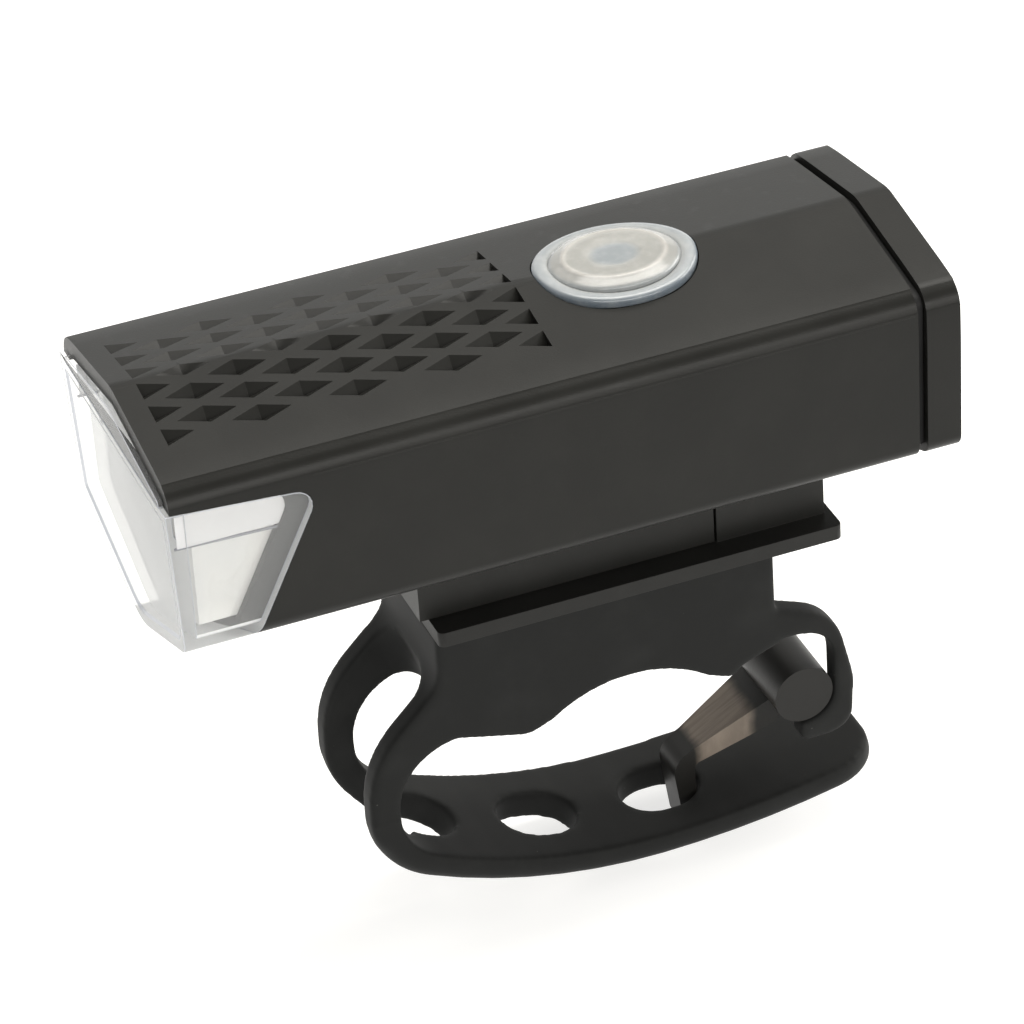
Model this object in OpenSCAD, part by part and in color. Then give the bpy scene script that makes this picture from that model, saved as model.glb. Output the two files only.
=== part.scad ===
// Bicycle headlight on a slide bracket, held to a handlebar by a silicone strap and hook.
// X runs along the handlebar, the lens faces -Y and +Z is up.
// The origin is the axis of the handlebar that the saddle sits on.

/* [Light body] */
// Length from the hood's front edge to the back of the rear cap
light_len = 91; // [89.5:0.5:105]
// Width across the shoulders
body_w = 36.9; // [35.5:0.1:42]
// Width across the lower corners
base_w = 36.2; // [35.5:0.1:41]
// Height of the shoulders above the lower corners
shoulder_h = 20.4; // [19.8:0.1:25]
// Rise of the roof's ridge above the shoulders
ridge_rise = 3.05; // [2.6:0.05:4]
// Drop of the keel below the lower corners
keel_drop = 7.2; // [6.4:0.1:8.2]
// Wall of the housing
wall = 2.2; // [1.9:0.1:2.5]
// Radius along the ridge
ridge_r = 6.6; // [4:0.1:9]
// Radius along the shoulders
shoulder_r = 2.4; // [1:0.1:4]
// Radius along the lower corners
corner_r = 2; // [1:0.1:4]
// Radius along the keel
keel_r = 8; // [4:0.1:12]
// Distance from the hood's front edge back to the handlebar axis
light_setback = 53.7; // [48:0.1:58]

/* [Roof pattern] */
// Front line of the lozenge field behind the hood edge
field_start = 2.7; // [2:0.1:6]
// Distance between columns of lozenges along the roof
lozenge_pitch = 5.43; // [4.6:0.01:5.5]
// Distance between lozenges across the roof
lozenge_step = 3.9; // [3.2:0.01:4.2]
// Length of a lozenge
lozenge_len = 6.8; // [4:0.1:8]
// Width of a lozenge
lozenge_w = 2.8; // [1.6:0.1:3]
// Depth of a lozenge
lozenge_depth = 1.1; // [0.3:0.05:1.2]
// Columns of lozenges, the first and last cut in half
lozenge_columns = 9; // [5:2:9]

/* [Lens and lamp] */
// How far the lens stands in front of the hood at the roof
lens_lead = 0.75; // [0.3:0.05:1.2]
// How far the lens leans back at the keel
lens_rake = 1.15; // [0:0.05:2]
// Thickness of the lens front
lens_front_t = 1.8; // [1.4:0.1:2.4]
// Thickness of the lens sides
lens_side_t = 1.1; // [0.9:0.05:1.3]
// Height of the wing's top edge at the hood edge
wing_top = 17.8; // [16:0.1:18.5]
// Height of the wing's rear corner
wing_corner_h = 16.5; // [15:0.1:17]
// Length of the wing at its top
wing_len = 16.8; // [14.5:0.1:18]
// Length of the wing at the lower corner
wing_foot = 8.6; // [7:0.1:11]
// Radius of the wing's rear corner
wing_r = 2; // [1:0.1:3]
// Width of the ledge that the wing laps over
wing_lap = 2.7; // [1.5:0.1:3.2]
// Radius of the reflector's mouth
bowl_r = 11.5; // [9:0.1:12]
// Radius of the hole round the light source
bowl_throat_r = 3.3; // [3:0.1:4]
// Depth of the reflector
reflector_len = 11.4; // [10:0.1:11.6]
// Height of the lamp's axis above the lower corners
lamp_z = 7.8; // [7:0.1:9]
// Radius of the board that carries the light source
led_board_r = 9; // [8:0.1:10]
// Thickness of that board
led_board_t = 1.5; // [1:0.1:2]
// Thickness of the heat sink
heat_sink_t = 2.4; // [1.8:0.1:2.6]

/* [Power and electronics] */
// Diameter of a cell
cell_d = 14.2; // [13.6:0.1:14.4]
// Length of a cell without its button
cell_len = 49; // [46:0.1:49.4]
// Height of the cells' axes above the lower corners
cell_z = 6.7; // [6.5:0.1:6.9]
// Thickness of the circuit board
board_t = 1.2; // [0.8:0.1:1.6]
// Height of the board's underside above the lower corners
board_z = 14.6; // [14.3:0.1:14.8]
// Width of the circuit board
board_w = 31; // [29:0.1:31.4]
// Distance of the board's front edge behind the hood edge
board_start = 26; // [22:0.1:34]

/* [Button] */
// Distance of the button behind the hood edge
button_y = 58; // [56:0.1:62]
// Outer half-width of the rim
rim_r = 8.1; // [7.8:0.1:8.6]
// Straight stretch of the oval
oval_straight = 2.4; // [0.6:0.1:4]
// Half-width of the pressed dome
dome_r = 6; // [5.4:0.1:6.3]
// Height of the rim above the ridge
rim_proud = 0.3; // [0.2:0.05:0.8]
// Height of the rim above the roof at its sides
rim_side_h = 0.95; // [0.6:0.05:1.3]
// Height of the dome's crown above the ridge
dome_proud = 1.4; // [1:0.05:2]
// Travel of the button
button_travel = 0.5; // [0.3:0.05:0.6]

/* [Rear cap] */
// Length of the cap
cap_len = 4.1; // [3.8:0.1:5]
// Width of the seal groove in front of the cap
groove_w = 1; // [0.6:0.1:1.4]
// Thickness of the cap's back
cap_back_t = 2.3; // [2.1:0.1:2.6]
// Width of the charging port's cover
cover_w = 13.6; // [11:0.1:15]
// Height of the charging port's cover
cover_h = 7.6; // [6.6:0.1:8.4]

/* [Bracket] */
// Width of the shoe and the rear stop
shoe_w = 16; // [15:0.1:18]
// Reach of the shoe in front of the handlebar axis
shoe_reach = 24; // [22.5:0.1:26]
// Reach of the rear stop behind the handlebar axis
stop_reach = 24.9; // [23:0.1:26]
// Length of the rear stop
stop_len = 13.2; // [10:0.1:16]
// Height of the shoe under the keel
shoe_h = 4.1; // [3.8:0.1:5]
// Width of the plate
plate_w = 22; // [20:0.1:24]
// Reach of the plate in front of the handlebar axis
plate_front = 22.9; // [22.5:0.1:24]
// Reach of the plate behind the handlebar axis
plate_rear = 25.8; // [25:0.1:28]
// Thickness of the plate
plate_t = 1.9; // [1.5:0.1:2.5]
// Width of the rail's head
rail_w = 12; // [10:0.1:12.2]
// Width of the rail's neck
rail_neck_w = 7.6; // [6:0.1:8.4]
// Thickness of the rail's head
rail_head_t = 1.3; // [1:0.05:1.5]
// Height of the rail's neck
rail_neck_h = 1.4; // [1.2:0.05:1.6]

/* [Strap and hook] */
// Diameter of the handlebar that fits the saddle's arch
bar_d = 31.8; // [28:0.1:35]
// Height of the saddle above the handlebar
saddle_h = 12.1; // [11:0.1:15]
// Reach of the saddle's neck in front of the handlebar axis
saddle_front = 22.8; // [22:0.1:23.5]
// Reach of the saddle's neck behind the handlebar axis
saddle_rear = 18.1; // [17.4:0.1:19]
// Half the chord of the saddle's arch
arch_half = 9.5; // [8:0.1:10.5]
// Width of the strap
strap_w = 18.5; // [16:0.1:21]
// Thickness of the strap
strap_t = 3.6; // [3:0.1:4.2]
// Inner radius of the strap's front bend
bend_r = 7.5; // [7:0.1:9]
// Drop of the strap's lower run below the handlebar axis
run_drop = 7.7; // [6.5:0.1:9]
// Reach of the strap's tail behind the handlebar axis
tail_reach = 31.1; // [30:0.1:36]
// Inner radius of the strap behind its lowest point
back_r = 110; // [80:1:160]
// Radius of the tail's corners
tail_r = 5.5; // [3:0.1:8]
// Width of each side rail beside the front window, and of the rear ear
rail_side = 3.05; // [2.4:0.05:3.6]
// Radius along the strap's outer edges
edge_r = 2.3; // [0.5:0.1:3]
// Width of a strap hole
hole_w = 8.4; // [7:0.1:9.2]
// Length of a strap hole
hole_len = 9.5; // [9:0.1:10.5]
// Distance between strap holes
hole_pitch = 15.8; // [14:0.1:17]
// Number of strap holes behind the front window
hole_count = 2; // [1:1:2]
// Width of the hook in the strap hole
hook_w = 4.6; // [4:0.1:6.4]
// Width of the hook at its barrel
hook_root_w = 7.6; // [6:0.1:11]
// Radius of the hook's barrel in the strap's eye
barrel_r = 3.6; // [3:0.1:3.8]
// How far the barrel's end lies inside the strap's side
barrel_inset = 0.4; // [0.1:0.1:1]

/* [Hidden] */
$fn = 48;

// Clearances
fit = 0.05;
running = 0.2;
slide_gap = 0.2;
end_gap = 0.3;
over = 1;

// Levels of the stack above the handlebar axis
bar_r = bar_d / 2;
saddle_top = bar_r + saddle_h;
plate_top = saddle_top + plate_t;
light_z = plate_top + slide_gap + shoe_h + keel_drop;
light_y = -light_setback;

// Body section, seen from the front, anticlockwise from the keel
half_top = body_w / 2;
half_base = base_w / 2;
ridge_z = shoulder_h + ridge_rise;
body_points = [
    [0, -keel_drop], [half_base, 0], [half_top, shoulder_h],
    [0, ridge_z], [-half_top, shoulder_h], [-half_base, 0]
];
body_radii = [keel_r, corner_r, shoulder_r, ridge_r, shoulder_r, corner_r];
least_r = 0.4;
roof_slope = atan2(ridge_rise, half_top);
keel_slope = atan2(keel_drop, half_base);
housing_end = light_len - cap_len - groove_w;

function unit(v) = v / norm(v);
function wrap(a) = a > 180 ? a - 360 : (a < -180 ? a + 360 : a);

// Corner p rounded to radius r between its neighbours a and b
function corner(a, p, b, r, steps) =
    let (u = unit(a - p), v = unit(b - p), half = acos(u * v) / 2)
    let (mid = p + unit(u + v) * r / sin(half), reach = r / tan(half))
    let (from = p + u * reach - mid, to = p + v * reach - mid)
    let (start = atan2(from[1], from[0]), turn = wrap(atan2(to[1], to[0]) - start))
    r == 0 ? [p] : arc(mid, r, start, start + turn, steps);

// Closed outline with every corner rounded to its own radius
function rounded(points, radii, steps = 6) =
    let (n = len(points))
    [
        for (i = [0:n - 1])
            each corner(points[(i + n - 1) % n], points[i], points[(i + 1) % n], radii[i], steps)
    ];

// Anticlockwise outline moved inwards by d
function inset(points, d) =
    let (n = len(points))
    [
        for (i = [0:n - 1])
            let (u = unit(points[i] - points[(i + n - 1) % n]), v = unit(points[(i + 1) % n] - points[i]))
            let (a = [-u[1], u[0]], b = [-v[1], v[0]])
            points[i] + d * (a + b) / (1 + a * b)
    ];

// Points of an arc about a centre, from one angle to another
function arc(centre, r, from, to, steps) =
    [
        for (i = [0:steps])
            let (angle = from + (to - from) * i / steps)
            centre + r * [cos(angle), sin(angle)]
    ];

function section(d) = rounded(inset(body_points, d), [for (r = body_radii) max(r - d, least_r)]);
function keel_at(x) = -keel_drop + keel_drop / half_base * abs(x);
function roof_at(x) = ridge_z - ridge_rise / half_top * abs(x);
function side_at(z) = half_base + (half_top - half_base) * z / shoulder_h;
// Height of the floor inside the wall at x
function floor_at(x) = keel_at(x) + wall / cos(keel_slope);

// Profile in X and Z carried along Y
module along_y(from, to) {
    translate([0, to, 0])
        rotate([90, 0, 0])
            linear_extrude(to - from)
                children();
}

// Profile in Y and Z carried along X, centred
module along_x(width) {
    translate([-width / 2, 0, 0])
        rotate([90, 0, 90])
            linear_extrude(width)
                children();
}

module box(x, y, z) {
    translate([x[0], y[0], z[0]])
        cube([x[1] - x[0], y[1] - y[0], z[1] - z[0]]);
}

module rod_x(y, z, r, from, to) {
    translate([from, y, z])
        rotate([0, 90, 0])
            cylinder(h = to - from, r = r);
}

module rod_y(x, z, r, from, to) {
    translate([x, to, z])
        rotate([90, 0, 0])
            cylinder(h = to - from, r = r);
}

module rod_z(x, y, r, from, to) {
    translate([x, y, from])
        cylinder(h = to - from, r = r);
}

module both_sides() {
    children();
    mirror([1, 0, 0])
        children();
}

// Body section solid, inset by d, between two distances behind the hood edge
module body_solid(d, from, to) {
    along_y(from, to)
        polygon(section(d));
}

// Oval prism along Z round the button's place
module oval(r, from, to) {
    for (end = [-1, 1])
        rod_z(0, button_y + end * oval_straight / 2, r, from, to);
    box([-r, r], [button_y - oval_straight / 2, button_y + oval_straight / 2], [from, to]);
}

// Moves a piece from the light's own frame to the handlebar's
module on_light() {
    translate([0, light_y, light_z])
        children();
}

// Front of the lens at height z, which leans back towards the keel
function lens_face(z) = -lens_lead + lens_rake * (ridge_z - z) / (ridge_z + keel_drop);
function wing_edge(z) = wing_foot + (wing_len - wing_foot) * z / wing_corner_h;
wing_low = -keel_drop - over;

// Side outline of the wing, drawn back by gap and shortened by lap
module wing_outline(gap, lap, front_low, front_high) {
    polygon(rounded(
        [
            [front_high, wing_top - gap], [front_low, wing_low],
            [wing_edge(wing_low) - lap - gap, wing_low], [wing_len - lap - gap, wing_corner_h - gap]
        ],
        [0, 0, 0, wing_r]
    ));
}

// One lozenge: a pyramid pointing down, wide enough to reach above the roof
module lozenge() {
    lift = 0.4;
    grow = (lozenge_depth + lift) / lozenge_depth;
    half_w = lozenge_w / 2 * grow;
    half_len = lozenge_len / 2 * grow;
    polyhedron(
        points = [[half_w, 0, lift], [0, half_len, lift], [-half_w, 0, lift], [0, -half_len, lift],
                  [0, 0, -lozenge_depth]],
        faces = [[0, 3, 2, 1], [0, 1, 4], [1, 2, 4], [2, 3, 4], [3, 0, 4]]
    );
}

field_len = (lozenge_columns - 1) * lozenge_pitch;
field_rows = 5;
// Staggered lozenges on both slopes of the roof, cut straight at the field's ends
module lozenge_field() {
    intersection() {
        box([-half_top, half_top], [field_start, field_start + field_len],
            [shoulder_h - over, ridge_z + over]);
        for (column = [0:lozenge_columns - 1], row = [0:field_rows - column % 2]) {
            x = (row - (field_rows - column % 2) / 2) * lozenge_step;
            translate([x, field_start + column * lozenge_pitch, roof_at(x)])
                rotate([0, sign(x) * roof_slope, 0])
                    lozenge();
        }
    }
}

// Button seat in the roof
rim_sink = 0.2;
rim_seat = roof_at(rim_r) - rim_sink;
flange_reach = 1;
opening_r = dome_r + flange_reach;
flange_r = opening_r - running;

// Board rails along the side walls
rail_t = 1.2;
rail_grip = 1;
rail_low = board_z - rail_t - fit;
rail_high = board_z + board_t + fit;
rail_start = board_start - rail_t;
rail_in = board_w / 2 - rail_grip;
board_rear_gap = 3.4;
board_end = housing_end - board_rear_gap;

// Screws of the rear cap
screw_r = 1;
screw_head_r = 1.9;
screw_head_t = 1.4;
head_sink = 0.2;
tip_gap = 0.2;
column_r = 2.6;
column_inset = 3.6;
column_rise = 2.5;
cap_screw_x = half_base - wall - column_inset;
cap_screw_z = floor_at(cap_screw_x) + column_rise;
spigot_len = 2;
column_end = housing_end - spigot_len - running;

// Screws of the shoe
shoe_screw_x = 4.5;
shoe_front_wall = 5.6;
shoe_start = light_setback - shoe_reach;
shoe_end = light_setback + stop_reach - stop_len - end_gap;
shoe_screw_y = shoe_start + shoe_front_wall / 2;
shoe_boss_r = 2.3;
shoe_boss_h = 2.2;
shoe_boss_top = floor_at(shoe_screw_x) + shoe_boss_h;
boss_skin = 0.6;
shoe_hole_top = shoe_boss_top - boss_skin;
peg_r = 1.2;
peg_len = 1.4;
peg_inset = 4;
peg_y = shoe_end - peg_inset;
peg_top = keel_at(shoe_screw_x) + peg_len;

module housing_tube() {
    difference() {
        body_solid(0, 0, housing_end);
        body_solid(wall, -over, housing_end + over);
        along_x(body_w + 2 * over)
            wing_outline(0, 0, -over, -over);
    }
    difference() {
        body_solid(lens_side_t + fit, 0, wing_len);
        body_solid(wall, -over, wing_len + over);
        along_x(body_w + 2 * over)
            wing_outline(0, wing_lap, -over, -over);
    }
}

module housing() {
    color([0.13, 0.13, 0.12])
        on_light()
            difference() {
                union() {
                    housing_tube();
                    both_sides() {
                        for (z = [rail_low, rail_high])
                            box([rail_in, side_at(z) - wall / 2], [rail_start, board_end], [z, z + rail_t]);
                        box([rail_in, side_at(board_z) - wall / 2], [rail_start - fit, board_start - fit],
                            [rail_low, rail_high + rail_t]);
                        intersection() {
                            rod_y(cap_screw_x, cap_screw_z, column_r, column_end - boss_len, column_end);
                            body_solid(wall / 2, 0, housing_end);
                        }
                        intersection() {
                            rod_z(shoe_screw_x, shoe_screw_y, shoe_boss_r, -keel_drop, shoe_boss_top);
                            body_solid(wall / 2, 0, housing_end);
                        }
                    }
                }
                lozenge_field();
                oval(rim_r + fit, rim_seat, ridge_z + over);
                oval(opening_r, 0, ridge_z + over);
                box([-board_w / 2 - fit, board_w / 2 + fit], [board_start - fit, housing_end + over],
                    [board_z - fit, rail_high]);
                both_sides() {
                    rod_y(cap_screw_x, cap_screw_z, screw_r + fit,
                        column_end - screw_grip, column_end + over);
                    rod_z(shoe_screw_x, shoe_screw_y, screw_r + fit, -keel_drop, shoe_hole_top);
                    rod_z(shoe_screw_x, peg_y, peg_r + fit, -keel_drop, peg_top + fit);
                }
            }
}

lens_back = wing_len + over;
hood_gap = wall + fit;
post_r = 0.6;
post_inset = 3.2;
post_x = half_base - wall - post_inset;
post_low = 11;
post_high = 15;

module lens() {
    color([0.86, 0.9, 0.95, 0.45])
        on_light() {
            difference() {
                union() {
                    intersection() {
                        body_solid(0, -lens_lead - over, lens_back);
                        along_x(body_w + 2 * over)
                            wing_outline(fit, 0, lens_face(wing_low), lens_face(wing_top));
                    }
                    intersection() {
                        body_solid(hood_gap, -lens_lead - over, lens_back);
                        along_x(body_w)
                            polygon([
                                [lens_face(0), 0], [lens_front_t, 0],
                                [lens_front_t, ridge_z], [lens_face(ridge_z), ridge_z]
                            ]);
                    }
                }
                body_solid(lens_side_t, lens_front_t, lens_back + over);
            }
            for (side = [-1, 1])
                rod_z(side * post_x, lens_front_t, post_r, post_low, post_high);
        }
}

reflector_room = 0.15;
reflector_gap = wall + reflector_room;
reflector_start = lens_front_t + post_r + running;
reflector_end = reflector_start + reflector_len;
bowl_steps = 10;

// Reflector bowl: a parabola from the throat to the mouth
function bowl_radius(t) = sqrt(bowl_throat_r ^ 2 + t * (bowl_r ^ 2 - bowl_throat_r ^ 2));

module bowl() {
    translate([0, reflector_end, lamp_z])
        rotate([90, 0, 0])
            rotate_extrude()
                polygon(concat(
                    [[0, -over], [bowl_throat_r, -over]],
                    [for (i = [0:bowl_steps]) [bowl_radius(i / bowl_steps), reflector_len * i / bowl_steps]],
                    [[bowl_r, reflector_len + over], [0, reflector_len + over]]
                ));
}

led_screw_x = 6.6;
led_screw_head = 1.3;

module reflector() {
    color([0.93, 0.93, 0.91])
        on_light()
            difference() {
                body_solid(reflector_gap, reflector_start, reflector_end);
                bowl();
                for (side = [-1, 1])
                    rod_y(side * led_screw_x, lamp_z, screw_head_r + running,
                        reflector_end - led_screw_head - running, reflector_end + over);
                box([-lead_notch, lead_notch], [lead_front - lead_r - running, reflector_end + over],
                    [lead_low - running, lead_z + lead_rise]);
            }
}

led_board_front = reflector_end + fit;
heat_sink_front = led_board_front + led_board_t;
heat_sink_back = heat_sink_front + heat_sink_t;
led_w = 3.5;
led_base_t = 0.8;
led_dome_r = 1.5;
sink_skin = 0.2;
led_hole_end = heat_sink_back - sink_skin;

module led_emitter() {
    color([0.95, 0.85, 0.4])
        on_light() {
            box([-led_w / 2, led_w / 2], [led_board_front - led_base_t, led_board_front],
                [lamp_z - led_w / 2, lamp_z + led_w / 2]);
            intersection() {
                translate([0, led_board_front - led_base_t, lamp_z])
                    sphere(led_dome_r);
                box([-led_w, led_w], [led_board_front - led_w, led_board_front - led_base_t],
                    [lamp_z - led_w, lamp_z + led_w]);
            }
        }
}

module led_board() {
    color([0.9, 0.9, 0.88])
        on_light()
            difference() {
                rod_y(0, lamp_z, led_board_r, led_board_front, heat_sink_front);
                for (side = [-1, 1])
                    rod_y(side * led_screw_x, lamp_z, screw_r + fit,
                        led_board_front - over, heat_sink_front + over);
            }
}

module led_screws() {
    color([0.75, 0.76, 0.78])
        on_light()
            for (side = [-1, 1]) {
                rod_y(side * led_screw_x, lamp_z, screw_head_r,
                    led_board_front - led_screw_head, led_board_front);
                rod_y(side * led_screw_x, lamp_z, screw_r, led_board_front, led_hole_end - tip_gap);
            }
}

lead_slot_w = 3;
lead_r = 0.55;
lead_x = 2.2;
lead_rise = 1.4;
lead_grip = 2;
lead_bend = 1;
lead_drop = 4;
lead_tail = 3;
lead_z = lamp_z + led_board_r + lead_rise;
lead_low = lamp_z + led_board_r - lead_grip;
lead_front = led_board_front - lead_r;
lead_notch = lead_x + lead_r + running;

module heat_sink() {
    color([0.72, 0.73, 0.75])
        on_light()
            difference() {
                body_solid(wall + fit, heat_sink_front, heat_sink_back);
                for (side = [-1, 1])
                    rod_y(side * led_screw_x, lamp_z, screw_r + fit, heat_sink_front - over, led_hole_end);
                box([-lead_slot_w - lead_x, lead_slot_w + lead_x],
                    [heat_sink_front - over, heat_sink_back + over], [lead_z - lead_slot_w / 2, ridge_z]);
            }
}

tab_t = 0.25;
cradle_start = heat_sink_back + fit;
cradle_wall = 1.4;
cell_start = cradle_start + cradle_wall + tab_t;
cell_end = cell_start + cell_len;
nub_r = 2.7;
nub_len = 0.9;
cell_x = cell_d / 2 + running / 2;
cradle_end = cell_end + nub_len + tab_t + cradle_wall;
// Bosses and screws of the rear cap share the room behind the cells
rear_room = column_end - cradle_end;
boss_share = 0.76;
grip_share = 0.56;
boss_len = boss_share * rear_room;
screw_grip = grip_share * rear_room;
tab_reach = 3.5;
tab_half = cell_x + tab_reach;
tab_h = 5;
tab_low = cell_z - tab_h / 2;
tab_high = cell_z + tab_h / 2;
cradle_lip = 1;

module battery_cells() {
    color([0.16, 0.34, 0.62])
        on_light()
            for (side = [-1, 1]) {
                rod_y(side * cell_x, cell_z, cell_d / 2, cell_start, cell_end);
                rod_y(side * cell_x, cell_z, nub_r, cell_end, cell_end + nub_len);
            }
}

module cell_tabs() {
    color([0.78, 0.77, 0.72])
        on_light()
            for (start = [cell_start - tab_t, cell_end + nub_len])
                box([-tab_half, tab_half], [start, start + tab_t], [tab_low, tab_high]);
}

module cell_cradle() {
    color([0.2, 0.21, 0.22])
        on_light()
            difference() {
                intersection() {
                    body_solid(wall + fit, cradle_start, cradle_end);
                    box([-half_top, half_top], [cradle_start, cradle_end], [-keel_drop, tab_high]);
                }
                for (side = [-1, 1]) {
                    rod_y(side * cell_x, cell_z, cell_d / 2 + fit, cell_start, cell_end);
                    rod_y(side * cell_x, cell_z, cell_d / 2 - cradle_lip,
                        cell_start - tab_t, cell_end + nub_len + tab_t);
                    rod_z(side * shoe_screw_x, shoe_screw_y, shoe_boss_r + running,
                        -keel_drop, shoe_boss_top + running);
                }
                box([-tab_half - fit, tab_half + fit], [cell_start - tab_t, cell_start],
                    [tab_low - fit, tab_high + over]);
                box([-tab_half - fit, tab_half + fit], [cell_end, cell_end + nub_len + tab_t],
                    [tab_low - fit, tab_high + over]);
                box([-lead_notch, lead_notch], [cell_end + nub_len, cradle_end + over],
                    [cell_lead_low - running, tab_high + over]);
            }
}

module circuit_board() {
    color([0.1, 0.35, 0.2])
        on_light()
            box([-board_w / 2, board_w / 2], [board_start, board_end], [board_z, board_z + board_t]);
}

board_top = board_z + board_t;
part_x = 7;
driver_back = 11;
driver_y = board_start + driver_back;
chip_w = 5;
chip_len = 6;
chip_h = 1.6;
coil_w = 7;
coil_h = 3;
capacitor_back = 10.5;
capacitor_w = 3;
capacitor_h = 2.2;
charger_front = 10.5;
charger_h = 1.5;

// One part on the board, by its middle and its size
module board_part(x, y, w, length, h) {
    box([x - w / 2, x + w / 2], [y - length / 2, y + length / 2], [board_top, board_top + h]);
}

module board_parts() {
    color([0.18, 0.18, 0.19])
        on_light() {
            board_part(-part_x, driver_y, chip_w, chip_len, chip_h);
            board_part(part_x, driver_y, coil_w, coil_w, coil_h);
            for (side = [-1, 1])
                board_part(side * part_x, driver_y + capacitor_back, capacitor_w, capacitor_w, capacitor_h);
            board_part(-part_x, board_end - charger_front, chip_w, chip_len, charger_h);
        }
}

charge_led_x = 4.4;
charge_led_w = 1.6;
charge_led_h = 0.8;

module charge_leds() {
    color([0.75, 0.85, 0.95])
        on_light()
            for (side = [-1, 1])
                box([side * charge_led_x - charge_led_w / 2, side * charge_led_x + charge_led_w / 2],
                    [button_y - charge_led_w, button_y + charge_led_w],
                    [board_top, board_top + charge_led_h]);
}

switch_w = 6;
plunger_r = 1.7;
plunger_len = 2.2;
stem_gap = 0.05;
button_flange_top = rim_seat - running;
button_flange_t = 0.7;
switch_h = 3.4;
switch_top = board_top + switch_h;
plunger_proud = 0.6;
plunger_top = switch_top + button_travel + plunger_proud;
stem_low = plunger_top + stem_gap;

module tact_switch() {
    color([0.25, 0.25, 0.26])
        on_light()
            difference() {
                box([-switch_w / 2, switch_w / 2], [button_y - switch_w / 2, button_y + switch_w / 2],
                    [board_top, switch_top]);
                rod_z(0, button_y, plunger_r + running / 2,
                    plunger_top - plunger_len - button_travel - running, switch_top + over);
            }
}

module switch_plunger() {
    color([0.1, 0.1, 0.1])
        on_light()
            rod_z(0, button_y, plunger_r, plunger_top - plunger_len, plunger_top);
}

socket_w = 7.6;
socket_h = 2.7;
port_z = board_z - socket_h / 2;
socket_len = 6;
socket_wall = 0.35;
cap_start = housing_end + groove_w;
cap_inside = light_len - cap_back_t;
socket_end = cap_inside - fit;
socket_depth = 4.2;

module usb_socket() {
    color([0.78, 0.79, 0.8])
        on_light()
            difference() {
                box([-socket_w / 2, socket_w / 2], [socket_end - socket_len, socket_end],
                    [board_z - socket_h, board_z]);
                box([-socket_w / 2 + socket_wall, socket_w / 2 - socket_wall],
                    [socket_end - socket_depth, socket_end + over],
                    [board_z - socket_h + socket_wall, board_z - socket_wall]);
            }
}

// Closed skin over rings of points, each ring with as many points as the next
module skin(rings) {
    n = len(rings);
    sides = len(rings[0]);
    walls = [
        for (i = [0:n - 2], k = [0:sides - 1])
            let (a = i * sides + k, b = i * sides + (k + 1) % sides)
            each [[a, b, b + sides], [a, b + sides, a + sides]]
    ];
    ends = [
        for (k = [1:sides - 2])
            each [[0, k + 1, k], [(n - 1) * sides, (n - 1) * sides + k, (n - 1) * sides + k + 1]]
    ];
    polyhedron(points = [for (ring = rings) each ring], faces = concat(walls, ends));
}

// Tube of radius r swept through points, with sides round it
module tube(points, r, sides = 8) {
    n = len(points);
    skin([
        for (i = [0:n - 1])
            let (ahead = unit(points[min(i + 1, n - 1)] - points[max(i - 1, 0)]))
            let (across = unit(cross(ahead, [1, 0, 0])), up = cross(ahead, across))
            [
                for (k = [0:sides - 1])
                    points[i] + r * (cos(360 * k / sides) * across + sin(360 * k / sides) * up)
            ]
    ]);
}

// Leads run along Y and Z only, so each route lists those two
function route(x, points) = [for (p = points) [x, p[0], p[1]]];

over_board = board_top + lead_r + fit;
under_board = board_z - lead_r - fit;

module led_leads() {
    color([0.75, 0.12, 0.1])
        on_light()
            for (side = [-1, 1])
                tube(route(side * lead_x, [
                    [lead_front, lead_low], [lead_front, lead_z - lead_bend],
                    [lead_front + lead_bend / 3, lead_z + lead_bend / 5],
                    [heat_sink_front + lead_bend / 2, lead_z + lead_bend / 2],
                    [heat_sink_back + lead_bend, lead_z + lead_bend / 2],
                    [board_start - lead_drop, over_board + lead_bend],
                    [board_start, over_board], [board_start + lead_tail, over_board]
                ]), lead_r);
}

cell_lead_y = cell_end + nub_len + tab_t + lead_r;
cell_lead_low = cell_z - lead_r;
// The leads reach the board half way between the cells and the board's end
cell_lead_run = (board_end - cell_lead_y) / 2;

module cell_leads() {
    color([0.1, 0.1, 0.1])
        on_light()
            for (side = [-1, 1])
                tube(route(side * lead_x, [
                    [cell_lead_y, cell_lead_low], [cell_lead_y, tab_high + lead_bend],
                    [cell_lead_y + cell_lead_run / 20, tab_high + 2.5 * lead_bend],
                    [cell_lead_y + cell_lead_run / 5, under_board - lead_bend / 3],
                    [cell_lead_y + cell_lead_run / 2, under_board],
                    [cell_lead_y + cell_lead_run, under_board]
                ]), lead_r);
}

dome_top = ridge_z + dome_proud;
dome_curve_r = 30;
dish_r = 9;
dish_depth = 0.45;
dome_wall = 1.3;
skirt_r = dome_r - dome_wall;
stem_r = 1.6;

module button() {
    color([0.86, 0.88, 0.9, 0.85])
        on_light() {
            difference() {
                union() {
                    intersection() {
                        oval(dome_r, button_flange_top - button_flange_t, dome_top);
                        translate([0, button_y, dome_top - dome_curve_r])
                            sphere(dome_curve_r, $fn = 96);
                    }
                    oval(flange_r, button_flange_top - button_flange_t, button_flange_top);
                }
                translate([0, button_y, dome_top - dish_depth + dish_r])
                    sphere(dish_r);
                oval(skirt_r, button_flange_top - button_flange_t - over, dome_top - dish_depth - dome_wall);
            }
            rod_z(0, button_y, stem_r, stem_low, dome_top - dish_depth - dome_wall / 2);
        }
}

rim_crest = ridge_z + rim_proud;
rim_side = roof_at(rim_r) + rim_side_h;

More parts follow.
